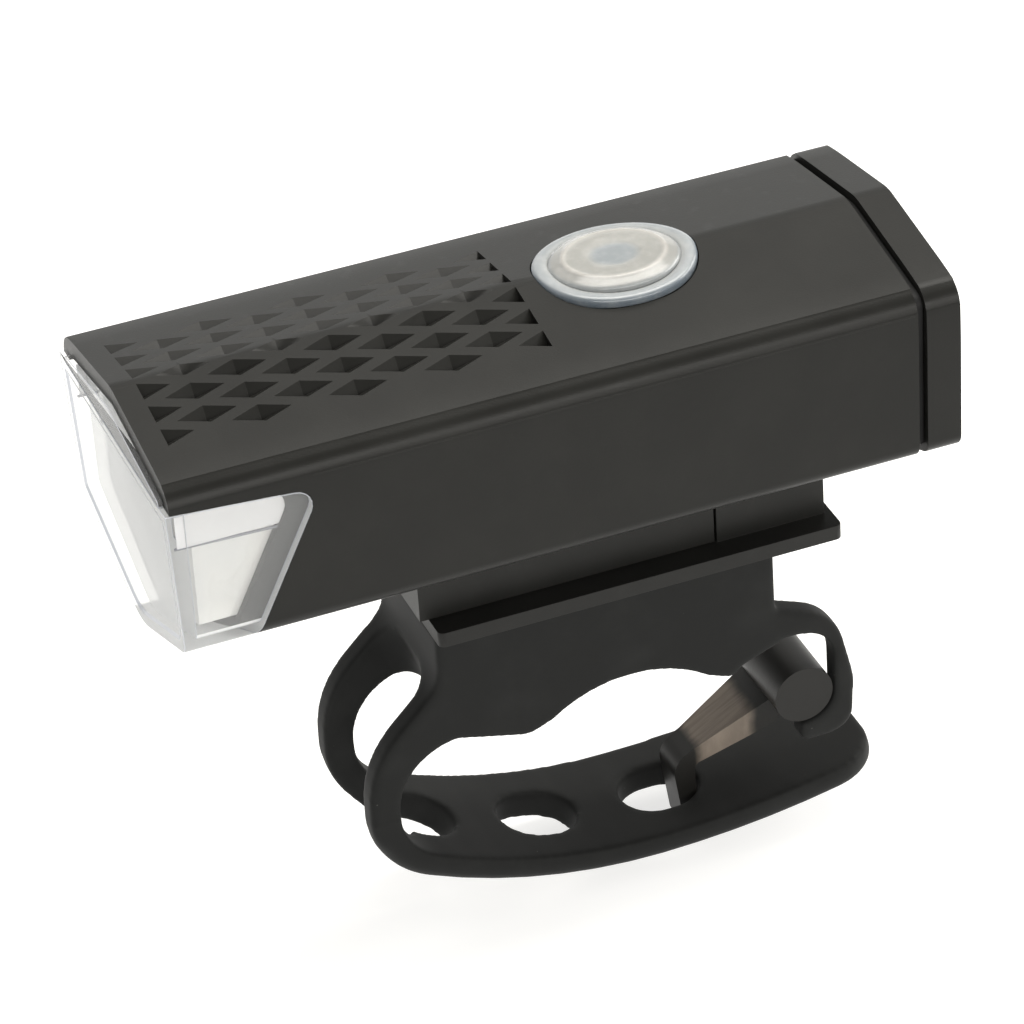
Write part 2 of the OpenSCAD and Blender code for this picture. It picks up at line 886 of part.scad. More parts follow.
// The rim's top falls to both sides, less than the roof does
module button_rim() {
    color([0.66, 0.71, 0.76, 0.8])
        on_light()
            difference() {
                intersection() {
                    oval(rim_r, rim_seat, ridge_z + over);
                    along_y(button_y - 2 * rim_r, button_y + 2 * rim_r)
                        polygon(rounded(
                            [
                                [-rim_r, 0], [rim_r, 0], [rim_r, rim_side],
                                [0, rim_crest], [-rim_r, rim_side]
                            ],
                            [0, 0, 0, ridge_r, 0]
                        ));
                }
                oval(dome_r + running, rim_seat - over, ridge_z + 2 * over);
            }
}

groove_depth = 0.9;
spigot_room = 0.1;
spigot_gap = wall + spigot_room;
spigot_t = 1.3;

module cap_seal() {
    color([0.05, 0.05, 0.05])
        on_light()
            difference() {
                body_solid(groove_depth, housing_end, cap_start);
                body_solid(wall + fit, housing_end - over, cap_start + over);
            }
}

recess_gap = 0.2;
cover_t = 1.2;
recess_room = 0.1;
recess_t = cover_t + recess_room;
port_gap = 0.45;
// The cover's upper edge is a roll that it turns about
roll_r = cover_t / 2;
roll_y = light_len - roll_r;
roll_z = port_z + cover_h / 2;

module rear_cap() {
    color([0.13, 0.13, 0.12])
        on_light()
            difference() {
                union() {
                    difference() {
                        union() {
                            body_solid(0, cap_start, light_len);
                            body_solid(spigot_gap, housing_end - spigot_len, cap_start);
                        }
                        body_solid(spigot_gap + spigot_t, housing_end - spigot_len - over, cap_inside);
                    }
                    both_sides()
                        intersection() {
                            rod_y(cap_screw_x, cap_screw_z, column_r, column_end + fit, cap_inside + fit);
                            body_solid(spigot_gap, housing_end - spigot_len - over, light_len);
                        }
                }
                both_sides() {
                    rod_y(cap_screw_x, cap_screw_z, screw_r + fit, column_end - over, light_len + over);
                    rod_y(cap_screw_x, cap_screw_z, screw_head_r + fit,
                        light_len - screw_head_t, light_len + over);
                }
                box([-cover_w / 2 - recess_gap, cover_w / 2 + recess_gap],
                    [light_len - recess_t, light_len + over],
                    [port_z - cover_h / 2 - recess_gap, roll_z + roll_r + recess_gap]);
                box([-socket_w / 2 - port_gap, socket_w / 2 + port_gap], [cap_inside - over, light_len],
                    [port_z - socket_h / 2 - port_gap, port_z + socket_h / 2 + port_gap]);
            }
}

module cap_screws() {
    color([0.3, 0.3, 0.31])
        on_light()
            for (side = [-1, 1]) {
                rod_y(side * cap_screw_x, cap_screw_z, screw_head_r,
                    light_len - screw_head_t, light_len - head_sink);
                rod_y(side * cap_screw_x, cap_screw_z, screw_r,
                    column_end - screw_grip + tip_gap, light_len - screw_head_t);
            }
}

plug_t = 0.8;

module usb_cover() {
    color([0.08, 0.08, 0.08])
        on_light() {
            box([-cover_w / 2, cover_w / 2], [light_len - cover_t, light_len],
                [port_z - cover_h / 2, roll_z]);
            rod_x(roll_y, roll_z, roll_r, -cover_w / 2, cover_w / 2);
            box([-socket_w / 2, socket_w / 2], [light_len - cover_t - plug_t, light_len - cover_t],
                [port_z - socket_h / 2, port_z + socket_h / 2]);
        }
}

// Shoe slot and rail share one profile, widened by gap for the slot
shoe_low = -keel_drop - shoe_h;
head_top = shoe_low + head_sink + screw_head_t;
module rail_profile(gap, low) {
    neck = rail_neck_w / 2 + gap;
    head = rail_w / 2 + gap;
    head_low = rail_neck_h - gap;
    head_high = rail_neck_h + rail_head_t + gap;
    polygon([
        [-neck, low], [neck, low], [neck, head_low], [head, head_low],
        [head, head_high], [-head, head_high], [-head, head_low], [-neck, head_low]
    ]);
}

module shoe() {
    color([0.12, 0.12, 0.12])
        on_light()
            difference() {
                union() {
                    along_y(shoe_start, shoe_end)
                        polygon([
                            [-shoe_w / 2, shoe_low], [shoe_w / 2, shoe_low],
                            [shoe_w / 2, keel_at(shoe_w / 2)], [0, -keel_drop],
                            [-shoe_w / 2, keel_at(shoe_w / 2)]
                        ]);
                    for (side = [-1, 1])
                        rod_z(side * shoe_screw_x, peg_y, peg_r, -keel_drop, peg_top);
                }
                translate([0, 0, shoe_low - slide_gap])
                    along_y(shoe_start + shoe_front_wall, shoe_end + over)
                        rail_profile(slide_gap, -over);
                for (side = [-1, 1]) {
                    rod_z(side * shoe_screw_x, shoe_screw_y, screw_r + fit, shoe_low - over, over);
                    rod_z(side * shoe_screw_x, shoe_screw_y, screw_head_r + fit, shoe_low - over, head_top);
                }
            }
}

module shoe_screws() {
    color([0.72, 0.73, 0.75])
        on_light()
            for (side = [-1, 1]) {
                rod_z(side * shoe_screw_x, shoe_screw_y, screw_head_r, shoe_low + head_sink, head_top);
                rod_z(side * shoe_screw_x, shoe_screw_y, screw_r, head_top, shoe_hole_top - tip_gap);
            }
}

plate_r = 0.8;
stop_front = stop_reach - stop_len;
stop_gap = 0.4;
rail_front = -shoe_reach + shoe_front_wall + end_gap;
key_neck = 8;
key_w = 13;
key_neck_h = 3;
key_t = 2.4;
key_front = -15;
key_back = 11;

// Key under the plate that the saddle is moulded round
module saddle_key(gap) {
    box([-key_neck / 2 - gap, key_neck / 2 + gap], [key_front - gap, key_back + gap],
        [saddle_top - key_neck_h - gap, saddle_top + gap]);
    box([-key_w / 2 - gap, key_w / 2 + gap], [key_front - gap, key_back + gap],
        [saddle_top - key_neck_h - key_t - gap, saddle_top - key_neck_h + gap]);
}

module bracket_base() {
    color([0.12, 0.12, 0.12]) {
        translate([0, 0, saddle_top])
            linear_extrude(plate_t)
                polygon(rounded(
                    [
                        [-plate_w / 2, -plate_front], [plate_w / 2, -plate_front],
                        [plate_w / 2, plate_rear], [-plate_w / 2, plate_rear]
                    ],
                    [plate_r, plate_r, plate_r, plate_r]
                ));
        translate([0, 0, plate_top])
            along_y(rail_front, stop_front + fit)
                rail_profile(0, -fit);
        difference() {
            box([-shoe_w / 2, shoe_w / 2], [stop_front, stop_reach], [plate_top - fit, light_z]);
            translate([0, 0, light_z - stop_gap])
                along_y(stop_front - over, stop_reach + over)
                    polygon([
                        [0, -keel_drop], [half_base, 0], [half_base, keel_drop],
                        [-half_base, keel_drop], [-half_base, 0]
                    ]);
        }
        difference() {
            saddle_key(0);
            box([-key_w, key_w], [key_front - over, key_back + over], [saddle_top, saddle_top + over]);
        }
    }
}

// Strap loop: a front bend that runs tangent into two long arcs under the bar
bend_back = 1.9;
bend_drop = 10.7;
bend_centre = [-saddle_front + bend_back, bar_r - bend_drop];
run_centre_y = 3;
run_low = -run_drop;
// The long arc touches the bend from outside, so its radius follows from its lowest point
bend_rise = bend_centre[1] - run_low - bend_r;
bend_side = bend_centre[0] - run_centre_y;
run_r = bend_r + (bend_rise * bend_rise + bend_side * bend_side) / (2 * bend_rise);
run_centre = [run_centre_y, run_low + run_r];
run_meet = atan2(bend_centre[1] - run_centre[1], bend_centre[0] - run_centre[0]) + 360;
run_mid_r = run_r + strap_t / 2;
// Behind its lowest point the run is flatter
back_centre = [run_centre_y, run_low + back_r];
back_mid_r = back_r + strap_t / 2;
tail_angle = 270 + asin((tail_reach - run_centre_y) / back_mid_r);

// Rear eye in one ear, which holds the hook's barrel
barrel_back = 3.2;
barrel_drop = 9.6;
barrel = [saddle_rear + barrel_back, bar_r - barrel_drop];
eye_gap = 0.25;
eye_r = barrel_r + eye_gap;
eye_wall = 2.5;
eye_h = 8.7;
eye_top = barrel[1] + eye_h;
eye_back = barrel[0] + eye_r;
eye_low = barrel[1] - eye_r;
ear_lip = barrel[0] - 0.6;
arch_rise = sqrt(bar_r * bar_r - arch_half * arch_half);
arch_angle = asin(arch_half / bar_r);
lip_reach = 3;
lip_drop = 1.2;
saddle_lip = [arch_half + lip_reach, arch_rise - lip_drop];
mouth_reach = 4.3;
mouth = [saddle_rear - mouth_reach, arch_rise + 0.1];
ear_root = saddle_rear - 2;
ear_rise = 4.3;
ear_brow = [eye_back + 0.4, eye_top + 1.5, 7];
ear_front = saddle_rear + 1.2;
neck_low = bar_r + 5.6;
neck_r = 5;
bend_shoulder = 7.4;
bend_shoulder_r = 13;

// Open run of corners [y, z, radius], rounded between a point before and a point after it
function rounded_run(stops, before, after) =
    let (n = len(stops), points = [for (s = stops) [s[0], s[1]]])
    [
        for (i = [0:n - 1])
            let (a = i == 0 ? before : points[i - 1], b = i == n - 1 ? after : points[i + 1])
            each corner(a, points[i], b, stops[i][2], 6)
    ];

bend_out = bend_r + strap_t;
bend_level = [bend_centre[0] - bend_out, bend_centre[1]];
bend_inside = [bend_centre[0] - bend_r, bend_centre[1]];
// Above its level the inside of the bend is a little wider and higher
crown_grow = 0.5;
crown_rise = 0.6;
crown_r = bend_r + crown_grow;
crown_centre = bend_centre + [crown_grow, crown_rise];
crown_end = 95;
bend_brow = [bend_level[0], bend_centre[1] + bend_shoulder, bend_shoulder_r];
saddle_outline = concat(
    // Under the plate, down the front of the neck to the level of the bend
    [[saddle_rear, saddle_top], [-saddle_front, saddle_top]],
    rounded_run(
        [[-saddle_front, neck_low, neck_r], bend_brow],
        [-saddle_front, saddle_top], bend_level
    ),
    [bend_level, bend_inside],
    // Up the inside of the bend to the front lip
    arc(crown_centre, crown_r, 180, crown_end, 10),
    rounded_run(
        [[-saddle_lip[0], saddle_lip[1], lip_reach]], crown_centre + [0, crown_r], [-arch_half, arch_rise]
    ),
    // Arch over the handlebar and the rear lip
    arc([0, 0], bar_r, 90 + arch_angle, 90 - arch_angle, 12),
    rounded_run([[saddle_lip[0], saddle_lip[1], lip_drop]], [arch_half, arch_rise], mouth),
    [mouth, [saddle_rear, eye_top - 0.6]]
);

ear_outline = concat(
    [[ear_root, eye_top + ear_rise]],
    rounded_run(
        [
            [saddle_rear, eye_top + ear_rise, 1], ear_brow,
            [eye_back + eye_wall, barrel[1] + 0.9, 8], [eye_back + eye_wall - 0.4, eye_low - eye_wall, 3],
            [ear_lip, eye_low - eye_wall, 0.8]
        ],
        [ear_root, eye_top + ear_rise + fit], [ear_lip, eye_low]
    ),
    rounded_run(
        [
            [ear_lip, eye_low, 0.4], [eye_back, eye_low, eye_r - 0.05], [eye_back, eye_top - 0.6, 4],
            [ear_front, eye_top, 2.4]
        ],
        [ear_lip, eye_low - eye_wall], mouth
    ),
    [[ear_root, mouth[1] + (eye_top - mouth[1]) * (ear_root - mouth[0]) / (ear_front - mouth[0])]]
);

// Stations along the band, each as centre, inner radius, angle, half-width, outer edge radius
// and how far the section lies inside the strap's own, which lets the root start in the saddle
// and then lap a little over its end
bend_steps = 9;
run_steps = 7;
back_steps = 5;
end_steps = 6;
end_turn = 84;
round_angle = 270 + asin((tail_reach - tail_r - run_centre_y) / back_mid_r);
root_turn = 8;
root_inset = 0.5;
root_lap = 0.05;
stations = concat(
    [[bend_centre, bend_r, 180 - root_turn, strap_w / 2, edge_r / 10, root_inset]],
    [
        for (i = [0:bend_steps])
            let (angle = 180 + (run_meet - 180) * i / bend_steps)
            let (edge = edge_r * max(min(i / 4, 1), 0.05), inset = i == 0 ? -root_lap : 0)
            [bend_centre, bend_r, angle, strap_w / 2, edge, inset]
    ],
    [
        for (i = [1:run_steps])
            [run_centre, run_r, run_meet + (270 - run_meet) * i / run_steps, strap_w / 2, edge_r, 0]
    ],
    [
        for (i = [1:back_steps])
            [back_centre, back_r, 270 + (round_angle - 270) * i / back_steps, strap_w / 2, edge_r, 0]
    ],
    [
        for (i = [1:end_steps])
            let (turn = end_turn * i / end_steps, half = strap_w / 2 - tail_r * (1 - cos(turn)))
            let (angle = round_angle + (tail_angle - round_angle) * sin(turn) / sin(end_turn))
            [back_centre, back_r, angle, half, edge_r, 0]
    ]
);

// Band cross-section at a station, its outer edges rounded
function band_ring(station) =
    let (inset = station[5], half = station[3] - inset, edge = station[4])
    let (inner = inset, outer = strap_t - inset)
    let (box = [[inner, -half], [outer, -half], [outer, half], [inner, half]])
    let (outline = rounded(box, [0, edge, edge, 0], 4))
    [
        for (p = outline)
            let (at = station[0] + (station[1] + p[0]) * [cos(station[2]), sin(station[2])])
            [p[1], at[0], at[1]]
    ];

// Front bend and perforated run of the strap in one band with a round tail
module band() {
    skin([for (station = stations) band_ring(station)]);
}

// Place of a strap hole, counted forwards along the strap from the one that the hook uses
hook_hole_y = 6.2;
hook_hole_angle = 270 + asin((hook_hole_y - run_centre_y) / run_mid_r);
hole_turn = hole_pitch / run_mid_r * 180 / PI;

hole_straight = hole_len - hole_w;

module strap_hole(index) {
    translate([0, run_centre[0], run_centre[1]])
        rotate([hook_hole_angle - index * hole_turn - 270, 0, 0])
            translate([0, 0, -run_r - 2 * strap_t]) {
                for (end = [-1, 1])
                    translate([0, end * hole_straight / 2, 0])
                        cylinder(h = 3 * strap_t, d = hole_w);
                translate([-hole_w / 2, -hole_straight / 2, 0])
                    cube([hole_w, hole_straight, 3 * strap_t]);
            }
}

// Window in the front bend that leaves a rail on either side
window_half = strap_w / 2 - rail_side;
window_r = 3.5;
window_reach = bend_r + 14;

function heading(angle) = [cos(angle), sin(angle)];

// Each end wall as its start on the inside of the bend and its heading
top_angle = 88;
low_angle = 233;
window_top = [crown_centre + crown_r * heading(top_angle), 110];
window_low = [bend_centre + bend_r * heading(low_angle), low_angle];

// Window between its end walls, each drawn inwards by d
module window_block(half, d) {
    top = window_top[0] + d * heading(window_top[1] + 90);
    low = window_low[0] + d * heading(window_low[1] - 90);
    along_x(2 * half)
        polygon([
            top - strap_t * heading(window_top[1]), top + window_reach * heading(window_top[1]),
            bend_centre - [window_reach, 0],
            low + window_reach * heading(window_low[1]), low - strap_t * heading(window_low[1])
        ]);
}

// Rounds the corners beside one end wall
module window_corners(end, inward) {
    start = end[0] + window_r * heading(end[1] + inward);
    for (side = [-1, 1])
        translate([side * (window_half - window_r), start[0], start[1]])
            rotate([end[1] - 90, 0, 0])
                translate([0, 0, -strap_t])
                    cylinder(h = window_reach + strap_t, r = window_r);
}

// The window's foot is as wide as a strap hole and lies one pitch in front of the last
module bend_window() {
    strap_hole(hole_count);
    window_block(window_half, window_r);
    window_block(window_half - window_r, 0);
    window_corners(window_top, 90);
    window_corners(window_low, -90);
}

module strap() {
    color([0.1, 0.1, 0.1])
        difference() {
            union() {
                along_x(strap_w)
                    polygon(saddle_outline);
                translate([(strap_w - rail_side) / 2, 0, 0])
                    along_x(rail_side)
                        polygon(ear_outline);
                band();
            }
            for (index = [0:hole_count - 1])
                strap_hole(index);
            bend_window();
            saddle_key(fit);
        }
}

hook_t = 2.8;
// The hook's back corners stay clear of the hole's round end
hook_back = hook_hole_y + hole_straight / 2 + sqrt(hole_w ^ 2 - hook_w ^ 2) / 2 - end_gap;
hook_front = hook_back - hook_t;
shank_top = bar_r - 19.5;
heel_top = bar_r - 20.2;
toe_top = -run_drop - strap_t - end_gap;
toe_t = 2;
toe_len = 2.6;
toe_lean = 1.3;
shank_meet = barrel + [-2.4, -3.2];
knee_under = barrel + [-1.4, -6.4];
barrel_under = barrel + [0.8, 0.3 - barrel_r];
barrel_end = strap_w / 2 - barrel_inset;

// Plan of the hook, which flares from the strap hole to the barrel
module hook_plan() {
    translate([0, 0, toe_top - toe_t - over])
        linear_extrude(barrel[1] - toe_top + toe_t + over)
            polygon([
                [-hook_w / 2, hook_front - over], [hook_w / 2, hook_front - over], [hook_w / 2, hook_back],
                [hook_root_w / 2, shank_meet[0]], [hook_root_w / 2, barrel[0] + barrel_r],
                [-hook_root_w / 2, barrel[0] + barrel_r], [-hook_root_w / 2, shank_meet[0]],
                [-hook_w / 2, hook_back]
            ]);
}

module hook() {
    color([0.28, 0.26, 0.24]) {
        intersection() {
            hook_plan();
            along_x(hook_root_w + over)
                polygon(rounded(
                    [
                        [hook_front, shank_top], [hook_front + toe_lean, toe_top - toe_t],
                        [hook_back + toe_len, toe_top - toe_t], [hook_back + toe_len, toe_top],
                        [hook_back, toe_top], [hook_back, heel_top], knee_under, barrel_under, shank_meet
                    ],
                    [3, 1, 0.8, 0.6, 0.7, 1, 1.6, 0, 0]
                ));
        }
        rod_x(barrel[0], barrel[1], barrel_r, -hook_root_w / 2, barrel_end);
    }
}

strap();
hook();
bracket_base();
housing();
lens();
reflector();
led_emitter();
led_board();
led_screws();
heat_sink();
battery_cells();
cell_tabs();
cell_cradle();
circuit_board();
board_parts();
charge_leds();
tact_switch();
switch_plunger();
usb_socket();
led_leads();
cell_leads();
button();
button_rim();
cap_seal();
rear_cap();
cap_screws();
usb_cover();
shoe();
shoe_screws();
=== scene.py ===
"""Looks of the bicycle headlight: finishes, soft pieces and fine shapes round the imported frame."""
import math

import bpy
from mathutils import Matrix, Vector


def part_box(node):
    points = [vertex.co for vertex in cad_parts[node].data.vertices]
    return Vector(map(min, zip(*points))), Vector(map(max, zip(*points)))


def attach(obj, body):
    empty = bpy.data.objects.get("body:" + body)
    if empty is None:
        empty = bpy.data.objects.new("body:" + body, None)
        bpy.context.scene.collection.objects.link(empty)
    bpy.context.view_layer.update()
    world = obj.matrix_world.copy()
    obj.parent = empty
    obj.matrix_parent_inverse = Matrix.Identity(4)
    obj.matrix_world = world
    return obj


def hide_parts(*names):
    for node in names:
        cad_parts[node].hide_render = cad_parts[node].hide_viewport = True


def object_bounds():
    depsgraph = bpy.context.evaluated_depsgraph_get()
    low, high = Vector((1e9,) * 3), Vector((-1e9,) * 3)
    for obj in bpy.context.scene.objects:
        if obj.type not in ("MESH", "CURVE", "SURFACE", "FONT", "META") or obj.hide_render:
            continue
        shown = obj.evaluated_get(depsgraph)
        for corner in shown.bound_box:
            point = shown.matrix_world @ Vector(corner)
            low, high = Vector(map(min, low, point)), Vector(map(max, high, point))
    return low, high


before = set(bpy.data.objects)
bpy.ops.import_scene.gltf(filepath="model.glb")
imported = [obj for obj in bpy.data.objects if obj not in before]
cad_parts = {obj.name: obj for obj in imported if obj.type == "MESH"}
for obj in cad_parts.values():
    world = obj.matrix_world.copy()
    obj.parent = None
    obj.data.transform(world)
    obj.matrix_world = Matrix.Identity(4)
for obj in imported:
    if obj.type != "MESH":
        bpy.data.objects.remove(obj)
cad_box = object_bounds()

MM = 0.001

# Place of the light's own frame: the hood's front edge and the line of the lower corners
HOOD_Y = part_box("housing")[0].y
CORNER_Z = 41.4 * MM

# Section of the body: ridge and shoulders above the corner line, half width, radius of the ridge
RIDGE_H = 23.45 * MM
SHOULDER_H = 20.4 * MM
HALF_W = 18.45 * MM
RIDGE_R = 6.6 * MM

# Vertices nearer than this are one, and so are faces that turn by less than this
MERGE_GAP = 0.002 * MM
FLAT_ANGLE = math.radians(0.6)


def on_light(x, y, z):
    """Point of the light, in millimetres from its middle, its hood's edge and its corner line."""
    return Vector((x * MM, HOOD_Y + y * MM, CORNER_Z + z * MM))


# Editing helpers

def clear_selection():
    if bpy.context.object and bpy.context.object.mode != "OBJECT":
        bpy.ops.object.mode_set(mode="OBJECT")
    bpy.ops.object.select_all(action="DESELECT")


def take(piece):
    """Selects one piece alone and makes it active."""
    clear_selection()
    piece.hide_set(False)
    piece.select_set(True)
    bpy.context.view_layer.objects.active = piece


def start_edit(piece, mode="FACE"):
    take(piece)
    bpy.ops.object.mode_set(mode="EDIT")
    bpy.ops.mesh.select_mode(type=mode)
    bpy.ops.mesh.select_all(action="SELECT")


def end_edit():
    bpy.ops.object.mode_set(mode="OBJECT")


def apply_place(piece):
    take(piece)
    bpy.ops.object.transform_apply(location=True, rotation=True, scale=True)


def modify(piece, kind, **settings):
    """Adds a modifier with its settings and applies it."""
    take(piece)
    modifier = piece.modifiers.new(kind.lower(), kind)
    for key, value in settings.items():
        setattr(modifier, key, value)
    bpy.ops.object.modifier_apply(modifier=modifier.name)


def smooth(piece, degrees):
    take(piece)
    bpy.ops.object.shade_smooth_by_angle(angle=math.radians(degrees))


def even_shade(piece, degrees=30):
    """Smooth shading that keeps the broad faces flat right up to their eased edges."""
    smooth(piece, degrees)
    modify(piece, "WEIGHTED_NORMAL", mode="FACE_AREA", weight=50, keep_sharp=True)


def choose(piece, test):
    """Opens a piece for editing with the faces selected that pass a test."""
    start_edit(piece)
    bpy.ops.mesh.select_all(action="DESELECT")
    end_edit()
    for face in piece.data.polygons:
        face.select = test(face)
    bpy.ops.object.mode_set(mode="EDIT")


def join(piece, *others):
    clear_selection()
    for other in (*others, piece):
        other.select_set(True)
    bpy.context.view_layer.objects.active = piece
    bpy.ops.object.join()


def block(name, centre, size, ease=0.0, tilt=0.0, segments=2):
    """Eased block of a size, tilted about the X axis."""
    clear_selection()
    bpy.ops.mesh.primitive_cube_add(size=1, location=centre)
    piece = bpy.context.object
    piece.name = name
    piece.scale = size
    piece.rotation_euler = (tilt, 0, 0)
    apply_place(piece)
    if ease:
        modify(piece, "BEVEL", width=ease, segments=segments, limit_method="ANGLE")
    return piece


def bar(name, start, end, wide, tall, ease):
    """Slim eased bar between two points that lie at one x."""
    run = end - start
    return block(name, (start + end) / 2, (wide, run.length, tall), ease, math.atan2(run.z, run.y))


def rod(name, centre, radius, length, sides, rounding, segments, turn=0.0):
    """Round rod with rounded ends, upright or turned about the Y axis."""
    clear_selection()
    bpy.ops.mesh.primitive_cylinder_add(
        vertices=sides, radius=radius, depth=length, location=centre, rotation=(0, turn, 0)
    )
    piece = bpy.context.object
    piece.name = name
    apply_place(piece)
    modify(
        piece, "BEVEL", width=rounding, segments=segments, limit_method="ANGLE",
        angle_limit=math.radians(40),
    )
    return piece


def cut(piece, tool):
    """Cuts a tool's shape out of a piece and takes the tool away."""
    modify(piece, "BOOLEAN", operation="DIFFERENCE", object=tool, solver="EXACT")
    bpy.data.objects.remove(tool)


def settle(piece, body, slot, finish, *nodes):
    """Gives a piece its body and finish and hides the nodes that it stands for; slot is not used."""
    if not piece.data.materials:
        piece.data.materials.append(finish)
    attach(piece, body)
    if nodes:
        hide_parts(*nodes)
    return piece


def copy_of(node, name, *finishes, whole=True):
    """Loose copy of a node's mesh with its doubles merged and, where asked, its flat faces whole."""
    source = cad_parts[node]
    piece = bpy.data.objects.new(name, source.data.copy())
    bpy.context.scene.collection.objects.link(piece)
    piece.data.materials.clear()
    for finish in finishes:
        piece.data.materials.append(finish)
    start_edit(piece, "VERT")
    bpy.ops.mesh.remove_doubles(threshold=MERGE_GAP)
    bpy.ops.mesh.customdata_custom_splitnormals_clear()
    if whole:
        bpy.ops.mesh.dissolve_limited(angle_limit=FLAT_ANGLE)
    end_edit()
    return piece


def ease_edges(piece, edge, degrees, finish_slot=-1):
    """Bevels the edges that turn by more than some degrees, in a finish of their own where asked."""
    modify(
        piece, "BEVEL", width=edge, segments=2, limit_method="ANGLE", material=finish_slot,
        angle_limit=math.radians(degrees), use_clamp_overlap=True, miter_outer="MITER_ARC",
    )


def eased_copy(node, name, edge, degrees=28):
    """Copy of a node with every crisp edge eased by a small bevel."""
    piece = copy_of(node, name)
    ease_edges(piece, edge, degrees)
    even_shade(piece, degrees)
    return piece


# Shader arithmetic

class Value:
    """A shader socket that takes part in arithmetic."""

    def __init__(self, finish, socket):
        self.finish = finish
        self.socket = socket

    def math(self, operation, first, second):
        return self.finish.add("ShaderNodeMath", {"operation": operation}, {0: first, 1: second})

    def __add__(self, other):
        return self.math("ADD", self, other)

    def __sub__(self, other):
        return self.math("SUBTRACT", self, other)

    def __rsub__(self, other):
        return self.math("SUBTRACT", other, self)

    def __mul__(self, other):
        return self.math("MULTIPLY", self, other)

    def __truediv__(self, other):
        return self.math("DIVIDE", self, other)

    def __pow__(self, other):
        return self.math("POWER", self, other)

    def __abs__(self):
        return self.math("ABSOLUTE", self, 0.0)

    def least(self, other):
        return self.math("MINIMUM", self, other)

    def most(self, other):
        return self.math("MAXIMUM", self, other)

    def between(self, low, high):
        """Smooth step from 0 at low to 1 at high."""
        return self.finish.add(
            "ShaderNodeMapRange", {"interpolation_type": "SMOOTHSTEP"},
            {"Value": self, "From Min": low, "From Max": high},
        )

    __radd__ = __add__
    __rmul__ = __mul__


class Finish:
    """One material. add() puts in any node; the rest are short ways to the usual ones."""

    def __init__(self, name):
        self.material = bpy.data.materials.new(name)
        self.material.use_nodes = True
        self.tree = self.material.node_tree
        self.shader = self.tree.nodes["Principled BSDF"]
        self.surface = self.tree.nodes["Material Output"].inputs["Surface"]
        self.place = self.add("ShaderNodeTexCoord", output="Object")

    def feed(self, socket, value):
        if isinstance(value, Value):
            self.tree.links.new(value.socket, socket)
        else:
            socket.default_value = value

    def add(self, kind, settings=None, inputs=None, output=0):
        node = self.tree.nodes.new(kind)
        for key, value in (settings or {}).items():
            setattr(node, key, value)
        for key, value in (inputs or {}).items():
            self.feed(node.inputs[key], value)
        return Value(self, node.outputs[output])

    def set(self, **inputs):
        """Sets the shader's own sockets, their names written with underscores."""
        for key, value in inputs.items():
            self.feed(self.shader.inputs[key.replace("_", " ")], value)
        return self

    def axes(self, centre=(0, 0, 0)):
        moved = self.add(
            "ShaderNodeVectorMath", {"operation": "SUBTRACT"}, {0: self.place, 1: centre}
        )
        node = self.tree.nodes.new("ShaderNodeSeparateXYZ")
        self.feed(node.inputs[0], moved)
        return [Value(self, socket) for socket in node.outputs]

    def noise(self, size, detail=3.0, rough=0.55, stretch=(1, 1, 1)):
        """Noise with features about size across, drawn out along an axis by stretch."""
        place = self.add(
            "ShaderNodeMapping", {}, {"Vector": self.place, "Scale": tuple(1 / s for s in stretch)}
        )
        return self.add(
            "ShaderNodeTexNoise", {},
            {"Vector": place, "Scale": 1 / size, "Detail": detail, "Roughness": rough},
        )

    def specks(self, spacing, size):
        """Mask of small scattered specks."""
        distance = self.add(
            "ShaderNodeTexVoronoi", {}, {"Vector": self.place, "Scale": 1 / spacing}
        )
        return 1 - distance.between(0.4 * size / spacing, size / spacing)

    def mix(self, share, first, second):
        node = self.tree.nodes.new("ShaderNodeMix")
        node.data_type = "RGBA"
        self.feed(node.inputs[0], share)
        for socket, colour in ((node.inputs[6], first), (node.inputs[7], second)):
            self.feed(socket, colour if isinstance(colour, Value) else (*colour, 1.0))
        return Value(self, node.outputs[2])

    def bump(self, height, depth, strength, under=None):
        """Normal that a height bumps, on top of a coarser bump where one is given."""
        inputs = {"Height": height, "Distance": depth, "Strength": strength}
        if under is not None:
            inputs["Normal"] = under
        return self.add("ShaderNodeBump", {}, inputs)


# Finishes

def satin_moulding(name, colour, rough, grain=0.22 * MM):
    """Satin moulded plastic with a fine eroded grain and faint cloudiness."""
    f = Finish(name)
    cloud = f.noise(9 * MM)
    fine = f.noise(grain, 2.0)
    pale = tuple(c * 1.35 for c in colour)
    handled = f.noise(2.2 * MM, 4.0).between(0.56, 0.72)
    f.set(
        Base_Color=f.mix(cloud.between(0.3, 0.75) * 0.7 + handled * 0.2, colour, pale),
        Roughness=rough + cloud * 0.09 - handled * 0.04 + fine * 0.05,
        Specular_IOR_Level=0.19,
        Normal=f.bump(fine, 0.02 * MM, 0.5, f.bump(f.noise(1.4 * MM), 0.01 * MM, 0.2)),
    )
    return f.material


def silicone(name, colour, rough=0.6):
    """Matte silicone: soft bloom, dust specks and a faint moulded orange peel."""
    f = Finish(name)
    cloud = f.noise(7 * MM, 4.0)
    dust = f.specks(2.6 * MM, 0.1 * MM) * f.noise(6 * MM).between(0.5, 0.62)
    bloom = cloud.between(0.4, 0.8) * 0.6
    pale = tuple(c * 1.6 + 0.004 for c in colour)
    f.set(
        Base_Color=f.mix(dust * 0.5, f.mix(bloom, colour, pale), (0.16, 0.16, 0.15)),
        Roughness=rough + cloud * 0.12 + dust * 0.1,
        Specular_IOR_Level=0.17,
        Sheen_Weight=0.03,
        Normal=f.bump(f.noise(0.3 * MM, 2.0), 0.02 * MM, 0.35, f.bump(cloud, 0.08 * MM, 0.12)),
    )
    return f.material


